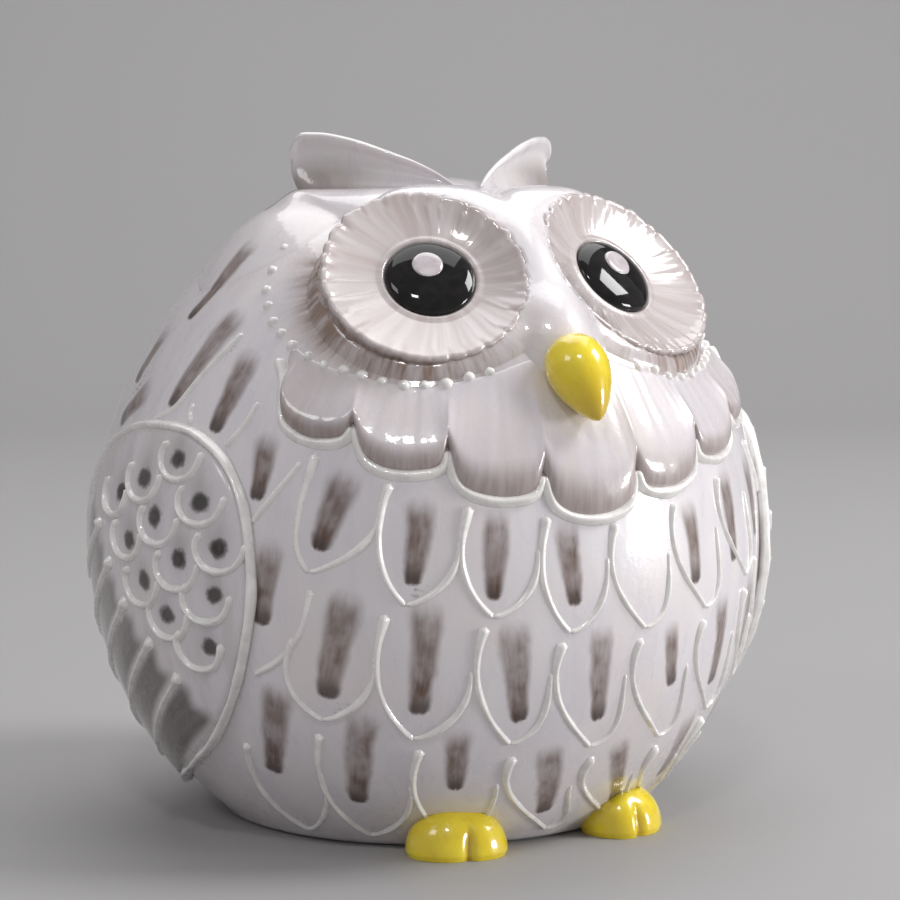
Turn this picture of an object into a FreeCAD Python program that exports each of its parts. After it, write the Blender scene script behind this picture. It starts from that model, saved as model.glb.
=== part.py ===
import FreeCAD, Part
import math
import os
import Sketcher

from FreeCAD import Placement, Rotation, Vector

# Round ceramic owl figurine. Millimetres, +Z up, the owl faces -Y, the base rests on z = 0.
# The cast body is an oval of revolution that leans back a little. Positions on it are given as
# (angle, height): the angle in degrees from the front, plus towards the owl's left (+X), and the
# height measured along the body's own axis before it leans.

doc = FreeCAD.newDocument("owl_figurine")
sheet = doc.addObject("Spreadsheet::Sheet", "sizes")

SIZES = [
    ("body_radius", 59.6, "radius at the belly"),
    ("belly_height", 48.2, "height of the widest circle"),
    ("crown_rise", 64.6, "belly to crown, along the axis"),
    ("belly_drop", 61.3, "belly to the oval's lowest point"),
    ("belly_arc_up", 70.0, "arc radius above the belly"),
    ("belly_arc_low", 63.0, "arc radius below the belly"),
    ("lean_angle", 4.0, "backward lean of the body in degrees"),
    ("wall", 4.0, "thickness of the cast wall"),
    ("base_wall", 4.5, "thickness of the closed base"),
    ("recess_radius", 27.0, "radius of the hollow inside the resting ring"),
    ("recess_depth", 1.2, "depth of that hollow"),
    ("vent_radius", 3.5, "radius of the vent hole in the base"),
    ("disc_side", 19.2, "disc centre from the middle plane"),
    ("disc_front", 37.5, "disc centre in front of the middle"),
    ("disc_high", 95.9, "disc centre above the table"),
    ("disc_turn", 18.0, "direction the disc faces, degrees outwards from the front"),
    ("disc_pitch", 38.0, "direction the disc faces, degrees above level"),
    ("disc_radius", 17.2, "eye disc"),
    ("disc_dish", 2.45, "depth of the dished face below the rim crest"),
    ("disc_back", 0.95, "clay left behind the middle of the dish"),
    ("disc_seat", 8.4, "radius of the flat middle of the dish"),
    ("disc_root", 13.0, "depth of the disc's root before it is trimmed"),
    ("flute_count", 36, "short grooves round the disc's rim"),
    ("flute_radius", 0.55, "radius of one rim groove"),
    ("pupil_shift", 1.15, "pupil's offset towards the beak"),
    ("pupil_up", 0.65, "pupil's offset upwards on the disc"),
    ("pupil_radius", 7.4, "pupil"),
    ("pupil_rise", 2.1, "height of the pupil's dome"),
    ("glint_radius", 2.6, "painted dot on the pupil"),
    ("glint_rise", 2.4, "top of the dot above the pupil's foot"),
    ("glint_up", 1.5, "dot's offset upwards"),
    ("glint_out", 0.5, "dot's offset outwards"),
    ("beak_length", 15.8, "root to tip"),
    ("beak_radius", 5.3, "widest radius of the beak"),
    ("mound_width", 8.0, "half width of the mound behind the beak"),
    ("mound_height", 9.5, "half height of that mound"),
    ("mound_rise", 3.9, "how far it stands out"),
    ("brow_width", 16.5, "half width of the brow pad behind each disc"),
    ("brow_depth", 15.0, "half depth of the brow pad"),
    ("brow_height", 8.6, "half height of the brow pad"),
    ("toe_width", 5.2, "half width of one toe"),
    ("toe_height", 9.4, "height of one toe"),
    ("toe_depth", 6.3, "half depth of one toe"),
    ("toe_reach", 42.4, "distance of a toe's centre from the middle"),
    ("lobe_rise", 3.1, "normal half axis of one ruff lobe"),
    ("lobe_sink", 0.8, "depth of a lobe's centre below the body"),
    ("wing_rise", 1.5, "thickness of the wing panel"),
    ("trail", 1.2, "width of a slip-trailed feather line"),
    ("ruff_line", 1.7, "width of the ruff's border line"),
    ("wing_line", 1.9, "width of the wing's border line"),
    ("quill_ball", 1.05, "radius of the ball that starts a quill line"),
    ("dot_radius", 0.85, "raised dots round the eyes"),
    ("tuft_height", 13.4, "tallest section of an ear tuft"),
    ("tuft_depth", 11.5, "deepest section of an ear tuft"),
]

for number, (alias, value, note) in enumerate(SIZES, start=1):
    sheet.set("A%d" % number, note)
    sheet.set("B%d" % number, str(value))
    sheet.setAlias("B%d" % number, alias)
doc.recompute()


def size(alias):
    return float(sheet.get(alias))


BELLY = Vector(0, 0, size("belly_height"))
LEAN = Placement(Vector(0, 0, 0), Rotation(Vector(1, 0, 0), -size("lean_angle")), BELLY)
NODES = []


# ---------------------------------------------------------------- the body's surface

def body_radius_at(height):
    """Radius of the body at a height along its own axis."""
    rise = height - size("belly_height")
    half = size("crown_rise") if rise > 0 else size("belly_drop")
    return size("body_radius") * math.sqrt(max(0.0, 1.0 - (rise / half) ** 2))


def on_body(angle, height, lift=0.0):
    """Point at (angle, height) and the outward normal there, both before the body leans."""
    turn = math.radians(angle)
    rise = height - size("belly_height")
    half = size("crown_rise") if rise > 0 else size("belly_drop")
    radius = body_radius_at(height)
    slope = Vector(radius / size("body_radius") ** 2, 0, rise / half ** 2)
    slope.normalize()
    outward = Vector(math.sin(turn), -math.cos(turn), 0)
    normal = outward * slope.x + Vector(0, 0, slope.z)
    point = outward * radius + Vector(0, 0, height) + normal * lift
    return point, normal


def seat(angle, height, lift=0.0, spin=0.0):
    """Placement with Z along the body's normal, X sideways and Y up the body, leaned with it."""
    point, normal = on_body(angle, height, lift)
    side = Vector(math.cos(math.radians(angle)), math.sin(math.radians(angle)), 0)
    turn = Rotation(side, normal.cross(side), normal, "ZXY")
    return LEAN.multiply(Placement(point, turn.multiply(Rotation(Vector(0, 0, 1), spin))))


def disc_place(side, depth):
    """Placement on an eye disc's axis: Z the way it faces, X towards the owl's left, Y up its face."""
    turn = math.radians(size("disc_turn")) * side
    pitch = math.radians(size("disc_pitch"))
    normal = Vector(math.sin(turn) * math.cos(pitch), -math.cos(turn) * math.cos(pitch), math.sin(pitch))
    level = Vector(math.cos(turn), math.sin(turn), 0)
    centre = Vector(side * size("disc_side"), -size("disc_front"), size("disc_high"))
    return Placement(centre + normal * depth, Rotation(level, normal.cross(level), normal, "ZXY"))


# ---------------------------------------------------------------- document helpers

def bind(obj, prop, expression):
    obj.setExpression(prop, expression)


def new_body(name):
    return doc.addObject("PartDesign::Body", name)


def plane_of(body, role):
    return [item for item in body.Origin.OriginFeatures if item.Role == role][0]


def new_sketch(body, name, role, offset=None):
    sketch = body.newObject("Sketcher::SketchObject", name)
    sketch.AttachmentSupport = [(plane_of(body, role), "")]
    sketch.MapMode = "FlatFace"
    if offset is not None:
        sketch.AttachmentOffset = Placement(Vector(0, 0, offset), Rotation())
    return sketch


def revolve(body, sketch, name):
    feature = body.newObject("PartDesign::Revolution", name)
    feature.Profile = sketch
    feature.ReferenceAxis = (sketch, ["V_Axis"])
    feature.Angle = 360.0
    sketch.Visibility = False
    return feature


def boolean(kind, name, base, tool):
    feature = doc.addObject("Part::" + kind, name)
    feature.Base = base
    feature.Tool = tool
    return feature


def join(name, shapes):
    feature = doc.addObject("Part::MultiFuse", name)
    feature.Shapes = shapes
    return feature


def mirror(name, source):
    feature = doc.addObject("Part::Mirroring", name)
    feature.Source = source
    feature.Normal = Vector(1, 0, 0)
    feature.Base = Vector(0, 0, 0)
    return feature


def solid_of(name, shape):
    """A freely formed piece: its shape is made by Part functions from the sheet's sizes."""
    feature = doc.addObject("Part::Feature", name)
    feature.Shape = shape
    return feature


def node(feature, label):
    feature.Label = label
    NODES.append(feature)
    return feature


def ellipsoid(name, normal_axis, width_axis, height_axis, placement):
    feature = doc.addObject("Part::Ellipsoid", name)
    for prop, expression in (("Radius1", normal_axis), ("Radius2", width_axis), ("Radius3", height_axis)):
        bind(feature, prop, expression)
    feature.Angle1 = -90
    feature.Angle2 = 90
    feature.Angle3 = 360
    feature.Placement = placement
    return feature


# ---------------------------------------------------------------- cast body

def constrain(sketch, *args):
    return sketch.addConstraint(Sketcher.Constraint(*args))


def dimension(sketch, expression, *args):
    bind(sketch, "Constraints[%d]" % constrain(sketch, *args), expression)


def oval_sketch(body, name, inward, reduce):
    """Half outline of the oval: two tangent arcs above the belly and two below it."""
    sketch = new_sketch(body, name, "XZ_Plane")
    radius = size("body_radius") - inward
    middle = size("belly_height")
    halves = []
    for sign, rise_name, arc_name in ((1, "crown_rise", "belly_arc_up"), (-1, "belly_drop", "belly_arc_low")):
        rise = size(rise_name) - inward
        side_arc = size(arc_name) - inward
        end_arc = (side_arc ** 2 - rise ** 2 - (radius - side_arc) ** 2) / (2 * (side_arc - rise))
        side_centre = Vector(radius - side_arc, middle, 0)
        end_centre = Vector(0, middle + sign * (rise - end_arc), 0)
        heading = end_centre - side_centre
        angle = math.atan2(heading.y, heading.x)
        up = Vector(0, 0, 1)
        low, high = sorted((0.0, angle))
        side = sketch.addGeometry(Part.ArcOfCircle(Part.Circle(side_centre, up, side_arc), low, high))
        low, high = sorted((angle, sign * math.pi / 2))
        end = sketch.addGeometry(Part.ArcOfCircle(Part.Circle(end_centre, up, end_arc), low, high))
        halves.append((side, end, sign, rise, rise_name, side_arc, arc_name))
    top = Vector(0, middle + halves[0][3], 0)
    bottom = Vector(0, middle - halves[1][3], 0)
    axis = sketch.addGeometry(Part.LineSegment(bottom, top))
    for side, end, sign, rise, rise_name, side_arc, arc_name in halves:
        near, far = (1, 2) if sign > 0 else (2, 1)
        constrain(sketch, "Tangent", side, far, end, near)
        constrain(sketch, "PointOnObject", end, 3, -2)
        constrain(sketch, "Coincident", end, far, axis, far)
        constrain(sketch, "PointOnObject", axis, far, -2)
        dimension(sketch, "sizes.%s%s" % (arc_name, reduce), "Radius", side, side_arc)
        dimension(sketch, "sizes.belly_height", "DistanceY", -1, 1, side, 3, middle)
        if sign > 0:
            pole = "sizes.belly_height + sizes.%s%s" % (rise_name, reduce)
            constrain(sketch, "Coincident", side, near, halves[1][0], 2)
            dimension(sketch, "sizes.body_radius%s" % reduce, "DistanceX", -1, 1, side, near, radius)
            dimension(sketch, "sizes.belly_height", "DistanceY", -1, 1, side, near, middle)
            dimension(sketch, pole, "DistanceY", -1, 1, end, far, middle + rise)
        else:
            pole = "sizes.%s%s - sizes.belly_height" % (rise_name, reduce)
            dimension(sketch, pole, "DistanceY", end, far, -1, 1, rise - middle)
    return sketch


def oval(name, inward, reduce):
    body = new_body(name)
    revolve(body, oval_sketch(body, name + "_outline", inward, reduce), name + "_turned")
    body.Placement = LEAN
    return body


def block(name, low, high, height_expression=None):
    """Box between two corners; its height can follow the sheet."""
    box = doc.addObject("Part::Box", name)
    box.Length = high.x - low.x
    box.Width = high.y - low.y
    box.Height = high.z - low.z
    box.Placement = Placement(low, Rotation())
    if height_expression:
        bind(box, "Height", height_expression)
    return box


def make_body():
    """The shell, and the trimming form that every applied piece is cut by."""
    outer = oval("outer_form", 0.0, "")
    inner = oval("cavity_form", size("wall"), " - sizes.wall")
    ground = block("ground", Vector(-90, -90, -40), Vector(90, 90, 0))
    inner_ground = block("cavity_ground", Vector(-80, -80, -40), Vector(80, 80, size("base_wall")),
                         "40 + sizes.base_wall")
    seats = []
    for side in (-1, 1):
        flat = doc.addObject("Part::Cylinder", "disc_seat_cut")
        bind(flat, "Radius", "sizes.disc_radius + 0.05")
        bind(flat, "Height", "30")
        flat.Placement = disc_place(side, -size("disc_dish") - size("disc_back"))
        seats.append(flat)
    seats = join("disc_seat_cuts", seats)
    trim = boolean("Cut", "trimming_form", join("outer_and_ground", [outer, ground]), seats)
    solid = boolean("Cut", "outer_on_ground", outer, ground)
    cavity = boolean("Cut", "cavity_on_ground", inner, inner_ground)
    vent = doc.addObject("Part::Cylinder", "vent")
    bind(vent, "Radius", "sizes.vent_radius")
    bind(vent, "Height", "sizes.base_wall + 6")
    vent.Placement = Placement(Vector(0, 0, -1), Rotation())
    recess = doc.addObject("Part::Cylinder", "ring_recess")
    bind(recess, "Radius", "sizes.recess_radius")
    bind(recess, "Height", "sizes.recess_depth + 5")
    recess.Placement = Placement(Vector(0, 0, -5), Rotation())
    hollows = join("hollows", [cavity, vent, recess, seats])
    node(boolean("Cut", "shell", solid, hollows), "body_shell")
    return trim


# ---------------------------------------------------------------- eyes

def make_eye_disc(trim):
    """Dished round disc with a raised rim, cut by short grooves all the way round."""
    body = new_body("disc_form")
    sketch = new_sketch(body, "disc_outline", "XZ_Plane")
    outer = size("disc_radius")
    flat = size("disc_seat")
    floor = -size("disc_dish")
    root = -size("disc_root")
    points = [Vector(0, root, 0), Vector(outer, root, 0), Vector(outer, -0.8, 0), Vector(outer - 0.7, 0, 0),
              Vector(outer - 1.7, -0.3, 0), Vector(flat, floor, 0), Vector(0, floor, 0)]
    count = len(points)
    for index in range(count):
        sketch.addGeometry(Part.LineSegment(points[index], points[(index + 1) % count]))
    for index in range(count):
        constrain(sketch, "Coincident", index, 2, (index + 1) % count, 1)
    constrain(sketch, "Horizontal", 0)
    constrain(sketch, "Vertical", 1)
    constrain(sketch, "Horizontal", 5)
    constrain(sketch, "PointOnObject", 0, 1, -2)
    constrain(sketch, "PointOnObject", 5, 2, -2)
    constrain(sketch, "PointOnObject", 2, 2, -1)
    constrain(sketch, "DistanceY", 1, 2, 2, 2, 0.8)
    constrain(sketch, "DistanceY", 3, 2, 2, 2, 0.3)
    dimension(sketch, "sizes.disc_radius", "DistanceX", -1, 1, 0, 2, outer)
    dimension(sketch, "sizes.disc_root", "DistanceY", 0, 2, -1, 1, -root)
    dimension(sketch, "sizes.disc_radius - 0.7", "DistanceX", -1, 1, 2, 2, outer - 0.7)
    dimension(sketch, "sizes.disc_radius - 1.7", "DistanceX", -1, 1, 3, 2, outer - 1.7)
    dimension(sketch, "sizes.disc_seat", "DistanceX", -1, 1, 4, 2, flat)
    dimension(sketch, "sizes.disc_dish", "DistanceY", 4, 2, -1, 1, -floor)
    revolve(body, sketch, "disc_turned")
    groove = new_sketch(body, "flute_section", "YZ_Plane", outer - 2.6)
    groove.addGeometry(Part.Circle(Vector(0, 0.1, 0), Vector(0, 0, 1), size("flute_radius")))
    constrain(groove, "PointOnObject", 0, 3, -2)
    constrain(groove, "DistanceY", -1, 1, 0, 3, 0.1)
    dimension(groove, "sizes.flute_radius", "Radius", 0, size("flute_radius"))
    flute = body.newObject("PartDesign::Pocket", "flute")
    flute.Profile = groove
    flute.Length = 5
    flute.Reversed = True
    groove.Visibility = False
    ring = body.newObject("PartDesign::PolarPattern", "flutes")
    ring.Originals = [flute]
    ring.Axis = (sketch, ["V_Axis"])
    ring.Angle = 360
    bind(ring, "Occurrences", "sizes.flute_count")
    body.Tip = ring
    body.Placement = disc_place(-1, 0)
    disc = boolean("Cut", "disc_trimmed", body, trim)
    node(disc, "eye_disc_right")
    node(mirror("disc_mirrored", disc), "eye_disc_left")


def turned(name, outline_points, expressions, placement):
    """Body turned from a smooth outline that starts and ends on its axis and closes with a line."""
    body = new_body(name)
    sketch = new_sketch(body, name + "_outline", "XZ_Plane")
    curve = Part.BSplineCurve()
    curve.interpolate(outline_points)
    spline = sketch.addGeometry(curve)
    axis = sketch.addGeometry(Part.LineSegment(outline_points[-1], outline_points[0]))
    constrain(sketch, "Coincident", spline, 2, axis, 1)
    constrain(sketch, "Coincident", axis, 2, spline, 1)
    constrain(sketch, "PointOnObject", axis, 1, -2)
    constrain(sketch, "PointOnObject", axis, 2, -2)
    for expression, point, value in expressions:
        dimension(sketch, expression, "DistanceY", -1, 1, axis, point, value)
    revolve(body, sketch, name + "_turned")
    body.Placement = placement
    return body


def make_pupil():
    """Low glossy dome on the flat of the dish, with a painted dot standing on it."""
    place = disc_place(-1, -size("disc_dish"))
    shift = Placement(Vector(size("pupil_shift"), size("pupil_up"), 0), Rotation())
    dome = ellipsoid("pupil_form", "sizes.pupil_rise", "sizes.pupil_radius", "sizes.pupil_radius",
                     place.multiply(shift))
    dome.Angle1 = 0
    node(dome, "pupil_right")
    node(mirror("pupil_mirrored", dome), "pupil_left")
    dot = doc.addObject("Part::Cylinder", "glint_form")
    bind(dot, "Radius", "sizes.glint_radius")
    bind(dot, "Height", "sizes.glint_rise")
    offset = Vector(size("pupil_shift") - size("glint_out"), size("pupil_up") + size("glint_up"), 0)
    dot.Placement = place.multiply(Placement(offset, Rotation()))
    glint = boolean("Cut", "glint_trimmed", dot, dome)
    node(glint, "pupil_glint_right")
    node(mirror("glint_mirrored", glint), "pupil_glint_left")


# ---------------------------------------------------------------- beak, mound and forehead

def make_beak(trim, discs):
    root = Vector(-1.2, -54.3, 81.7)
    heading = Vector(0.8, -7.7, -13.6)
    place = LEAN.multiply(Placement(root, Rotation(Vector(0, 0, 1), heading)))
    length = size("beak_length")
    wide = size("beak_radius")
    outline = [Vector(0, 0, 0), Vector(0.62 * wide, 0.07 * length, 0), Vector(0.95 * wide, 0.22 * length, 0),
               Vector(wide, 0.38 * length, 0), Vector(0.86 * wide, 0.58 * length, 0),
               Vector(0.52 * wide, 0.81 * length, 0), Vector(0.2 * wide, 0.955 * length, 0),
               Vector(0, length, 0)]
    drop = turned("beak_form", outline, [("sizes.beak_length", 1, length)], place)
    beak = boolean("Cut", "beak_trimmed", drop, trim)
    node(beak, "beak")
    mound_place = seat(0, 83.2, -0.6)
    pad = ellipsoid("mound_form", "sizes.mound_rise", "sizes.mound_width", "sizes.mound_height", mound_place)
    cutters = join("mound_cutters", [trim, beak] + discs)
    node(boolean("Cut", "mound_trimmed", pad, cutters), "beak_mound")


def make_brows(trim, blockers):
    """Soft pads that fill between the head, the back of each disc and the tuft above it."""
    place = Placement(Vector(-14.0, -14.5, 102.8), Rotation(Vector(0, 0, 1), 18))
    pad = ellipsoid("brow_form", "sizes.brow_height", "sizes.brow_width", "sizes.brow_depth", place)
    half = block("brow_side", Vector(-60, -70, 60), Vector(0, 40, 130))
    inner = boolean("Common", "brow_half", pad, half)
    brow = boolean("Cut", "brow_trimmed", inner, join("brow_cutters", [trim] + blockers))
    node(brow, "brow_pad_right")
    left = mirror("brow_mirrored", brow)
    node(left, "brow_pad_left")
    return [brow, left]


# ---------------------------------------------------------------- feet

def make_feet(trim):
    toes = []
    for index, angle in enumerate((-15.9, -25.3)):
        turn = math.radians(angle)
        reach = size("toe_reach")
        spot = Vector(reach * math.sin(turn), -reach * math.cos(turn), 0.4)
        place = Placement(spot, Rotation(Vector(0, 0, 1), angle))
        toes.append(ellipsoid("toe_%d" % index, "sizes.toe_height", "sizes.toe_width", "sizes.toe_depth", place))
    foot = boolean("Cut", "foot_trimmed", join("toes", toes), trim)
    node(foot, "foot_right")
    node(mirror("foot_mirrored", foot), "foot_left")


# ---------------------------------------------------------------- ruff under the face

RUFF_LOBES = [(0.0, 63.6, 9.3, 11.0, 0.0), (15.8, 65.6, 8.5, 9.6, 14.0),
              (30.4, 69.6, 8.8, 9.5, 17.0), (45.2, 75.2, 8.9, 9.6, 24.0)]
RUFF_CUSPS = [(8.3, 60.0), (23.2, 64.6), (38.1, 68.8), (51.5, 77.0)]
RUFF_DIPS = [(0.0, 52.6), (14.9, 56.2), (28.0, 60.9), (44.0, 66.4)]


def make_ruff(trim, discs):
    """Seven puffed lobes side by side, joined to one pillowed band."""
    lobes = []
    for side in (-1, 1):
        for angle, height, width, tall, spin in RUFF_LOBES:
            if angle == 0 and side > 0:
                continue
            place = seat(side * angle, height, -size("lobe_sink"), side * spin)
            lobe = doc.addObject("Part::Ellipsoid", "ruff_lobe")
            bind(lobe, "Radius1", "sizes.lobe_rise")
            lobe.Radius2 = width
            lobe.Radius3 = tall
            lobe.Angle1 = -90
            lobe.Angle2 = 90
            lobe.Angle3 = 360
            lobe.Placement = place
            lobes.append(lobe)
    cutters = join("ruff_cutters", [trim] + discs)
    node(boolean("Cut", "ruff_trimmed", join("ruff_lobes", lobes), cutters), "ruff")


# ---------------------------------------------------------------- slip-trailed lines

def smooth_path(marks, count):
    """Evenly spaced (angle, height) pairs on a smooth curve through the marks."""
    curve = Part.BSplineCurve()
    curve.interpolate([Vector(angle, height, 0) for angle, height in marks])
    return [(point.x, point.y) for point in curve.discretize(Number=count)]


def bead(path, width, height, lift=0.0, swell=None):
    """A rounded line of slip laid on the body along a path, with tapered ends."""
    points = [on_body(angle, tall, lift) for angle, tall in path]
    last = len(points) - 1
    sections = []
    for index, (point, normal) in enumerate(points):
        along = points[min(index + 1, last)][0] - points[max(index - 1, 0)][0]
        along.normalize()
        side = normal.cross(along)
        side.normalize()
        scale = swell(index / last) if swell else 1.0
        if index in (0, last):
            scale = scale * 0.45
        reach = side * (0.5 * width * scale)
        crown = point + normal * (height * scale)
        arc = Part.Arc(point - reach, crown, point + reach).toShape()
        sections.append(Part.Wire([arc, Part.makeLine(point + reach, point - reach)]))
    shape = Part.makeLoft(sections, True, False)
    shape.Placement = LEAN
    return shape


def trail(marks, width=None, count=None, lift=0.0, swell=None):
    width = width or size("trail")
    span = sum(math.hypot(b[0] - a[0], b[1] - a[1]) for a, b in zip(marks, marks[1:]))
    count = count or max(6, int(span / 2.2))
    return bead(smooth_path(marks, count), width, 0.55 * width, lift, swell)


def bezier(start, pull_start, pull_end, end, count):
    """Points along a cubic curve, the last one left out."""
    points = []
    for index in range(count):
        t = index / count
        u = 1.0 - t
        weights = (u ** 3, 3 * u * u * t, 3 * u * t * t, t ** 3)
        corners = (start, pull_start, pull_end, end)
        points.append(tuple(sum(w * c[axis] for w, c in zip(weights, corners)) for axis in (0, 1)))
    return points


def feather(top, tip, next_top):
    """One feather: down the near side from its top, round the tip, up to the next feather."""
    span = next_top[0] - top[0]
    drop = top[1] - tip[1]
    end = (next_top[0] - 0.06 * span, next_top[1] - 0.1 * (next_top[1] - tip[1]))
    rise = end[1] - tip[1]
    low = body_radius_at(0.5 * (top[1] + tip[1])) / body_radius_at(tip[1])
    near = bezier(top, (top[0] - 0.28 * span, top[1] - 0.5 * drop),
                  (tip[0] - 0.36 * span * low, tip[1] + 0.16 * drop), tip, 9)
    far = bezier(tip, (tip[0] + 0.42 * span * low, tip[1] + 0.14 * rise),
                 (end[0] + 0.02 * span, end[1] - 0.5 * rise), end, 9)
    return bead(near + far + [end], size("trail"), 0.55 * size("trail"))


def feather_row(name, tops, tips):
    lines = [feather(tops[index], tips[index], tops[index + 1]) for index in range(len(tips))]
    return node(solid_of(name, Part.makeCompound(lines)), name)


def base_height(angle, rise):
    """Body height that lies at a given rise above the table once the body leans."""
    lean = math.tan(math.radians(size("lean_angle")))
    return rise + 0.3 - lean * 36.0 * math.cos(math.radians(angle))


def make_feathers():
    row_1_tops = [(-44.0, 65.0), (-32.4, 60.0), (-20.2, 55.6), (-8.0, 53.4), (3.6, 51.6), (16.0, 54.2),
                  (28.8, 58.0), (41.5, 62.5)]
    row_1_tips = [(-45.3, 46.0), (-30.5, 40.4), (-17.1, 37.9), (-4.4, 34.6), (10.0, 34.2), (24.8, 36.2),
                  (39.5, 40.5)]
    row_2_tops = [(-48.5, 41.5), (-33.6, 39.0), (-18.4, 36.4), (-5.3, 33.4), (9.4, 32.8), (24.6, 34.6),
                  (39.6, 38.6), (50.0, 40.5)]
    row_2_tips = [(-46.1, 21.8), (-30.6, 18.3), (-13.2, 16.6), (3.5, 14.8), (21.5, 14.6), (37.5, 17.5),
                  (50.0, 21.5)]
    row_3_tops = [(-64.0, 17.5), (-47.5, 19.5), (-29.5, 16.4), (-12.0, 14.6), (5.2, 12.8), (23.2, 12.8),
                  (39.0, 15.8), (57.0, 18.5)]
    row_3_tips = [(angle, base_height(angle, 1.8)) for angle in (-62.0, -44.5, -24.0, 2.5, 24.0, 40.5, 56.0)]
    feather_row("breast_feather_lines_upper", row_1_tops, row_1_tips)
    feather_row("breast_feather_lines_middle", row_2_tops, row_2_tips)
    feather_row("breast_feather_lines_lower", row_3_tops, row_3_tips)
    lines = []
    for top, tip, first, pitch, count in ((66.0, 46.0, 128.0, 13.0, 8), (44.0, 24.5, 121.0, 14.8, 8),
                                          (22.5, 5.0, 113.0, 16.75, 8)):
        for index in range(count):
            angle = first + pitch * index
            lines.append(feather((angle, top), (angle + 0.5 * pitch, tip), (angle + pitch, top)))
    node(solid_of("back_feather_lines", Part.makeCompound(lines)), "back_feather_lines")
    side_marks = [
        [(-63.2, 84.8), (-70.0, 78.2), (-75.6, 72.8), (-81.0, 71.2)],
        [(-55.6, 73.4), (-57.4, 70.0), (-61.0, 66.3)],
        [(-70.2, 73.6), (-70.4, 71.8), (-69.6, 70.2)],
        [(-46.4, 63.6), (-49.6, 60.0), (-55.0, 54.0)],
        [(-45.2, 43.4), (-48.0, 36.0), (-52.6, 31.6), (-57.4, 29.4)],
    ]
    for side, label in ((1, "right"), (-1, "left")):
        lines = [trail([(side * angle, height) for angle, height in marks]) for marks in side_marks]
        name = "side_feather_lines_" + label
        node(solid_of(name, Part.makeCompound(lines)), name)


def make_ruff_line():
    """The border of the ruff: one hanging curve per lobe."""
    lines = []
    for side in (-1, 1):
        starts = [(-RUFF_CUSPS[0][0], RUFF_CUSPS[0][1])] + RUFF_CUSPS
        for index, dip in enumerate(RUFF_DIPS):
            if index == 0 and side > 0:
                continue
            start = starts[index]
            end = starts[index + 1]
            left = (0.75 * start[0] + 0.25 * dip[0] - 0.4, 0.3 * start[1] + 0.7 * dip[1])
            right = (0.75 * end[0] + 0.25 * dip[0] + 0.4, 0.3 * end[1] + 0.7 * dip[1])
            marks = [start, left, dip, right, end]
            marks = [(side * angle, height) for angle, height in marks]
            lines.append(trail(marks, size("ruff_line"), 13))
    node(solid_of("ruff_border_line", Part.makeCompound(lines)), "ruff_border_line")


def make_dots(trim):
    """Chain of small raised dots round the outer and lower side of each eye disc."""
    marks = [(15.2, 76.8), (26.4, 74.8), (38.7, 77.2), (47.3, 80.2), (54.7, 84.7), (60.8, 90.6),
             (64.0, 97.0), (63.3, 102.6)]
    curve = Part.BSplineCurve()
    curve.interpolate([Vector(angle, height, 0) for angle, height in marks])
    count = 18
    for side, label in ((-1, "right"), (1, "left")):
        dots = []
        for point in curve.discretize(Number=count):
            spot, normal = on_body(side * point.x, point.y)
            ball = Part.makeSphere(size("dot_radius"), spot)
            ball.Placement = LEAN.multiply(ball.Placement)
            dots.append(ball)
        name = "eye_dots_" + label
        balls = solid_of(name + "_balls", Part.makeCompound(dots))
        node(boolean("Cut", name + "_trimmed", balls, trim), name)


# ---------------------------------------------------------------- wings

WING_OUTLINE = [(-14.0, 69.6), (-22.7, 67.9), (-29.3, 63.6), (-33.2, 57.5), (-34.8, 50.0), (-34.6, 42.8),
                (-32.0, 35.0), (-26.9, 26.8), (-18.8, 19.4), (-8.0, 14.0), (4.0, 10.2), (16.0, 8.0),
                (24.5, 12.0), (28.5, 22.0), (29.0, 34.0), (25.0, 48.0), (16.0, 59.5), (4.0, 66.8), (-6.0, 69.6)]
WING_SCALES = [(-69.3, 60.7, 3), (-64.3, 53.7, 3), (-60.5, 46.5, 3), (-63.5, 38.4, 2), (-66.5, 30.6, 1)]
QUILLS = [((-17.3, 29.2), (11.0, 12.6)), ((-12.6, 34.9), (20.0, 16.4)), ((-6.7, 41.2), (24.6, 23.4)),
          ((-2.0, 47.7), (25.2, 32.2)), ((3.4, 54.0), (22.6, 43.2))]


def wing_angle(depth, height):
    """Angle on the owl's right side of a wing point given by its front-to-back position."""
    radius = body_radius_at(height) + size("wing_rise")
    return -math.degrees(math.acos(max(-1.0, min(1.0, -depth / radius))))


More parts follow.
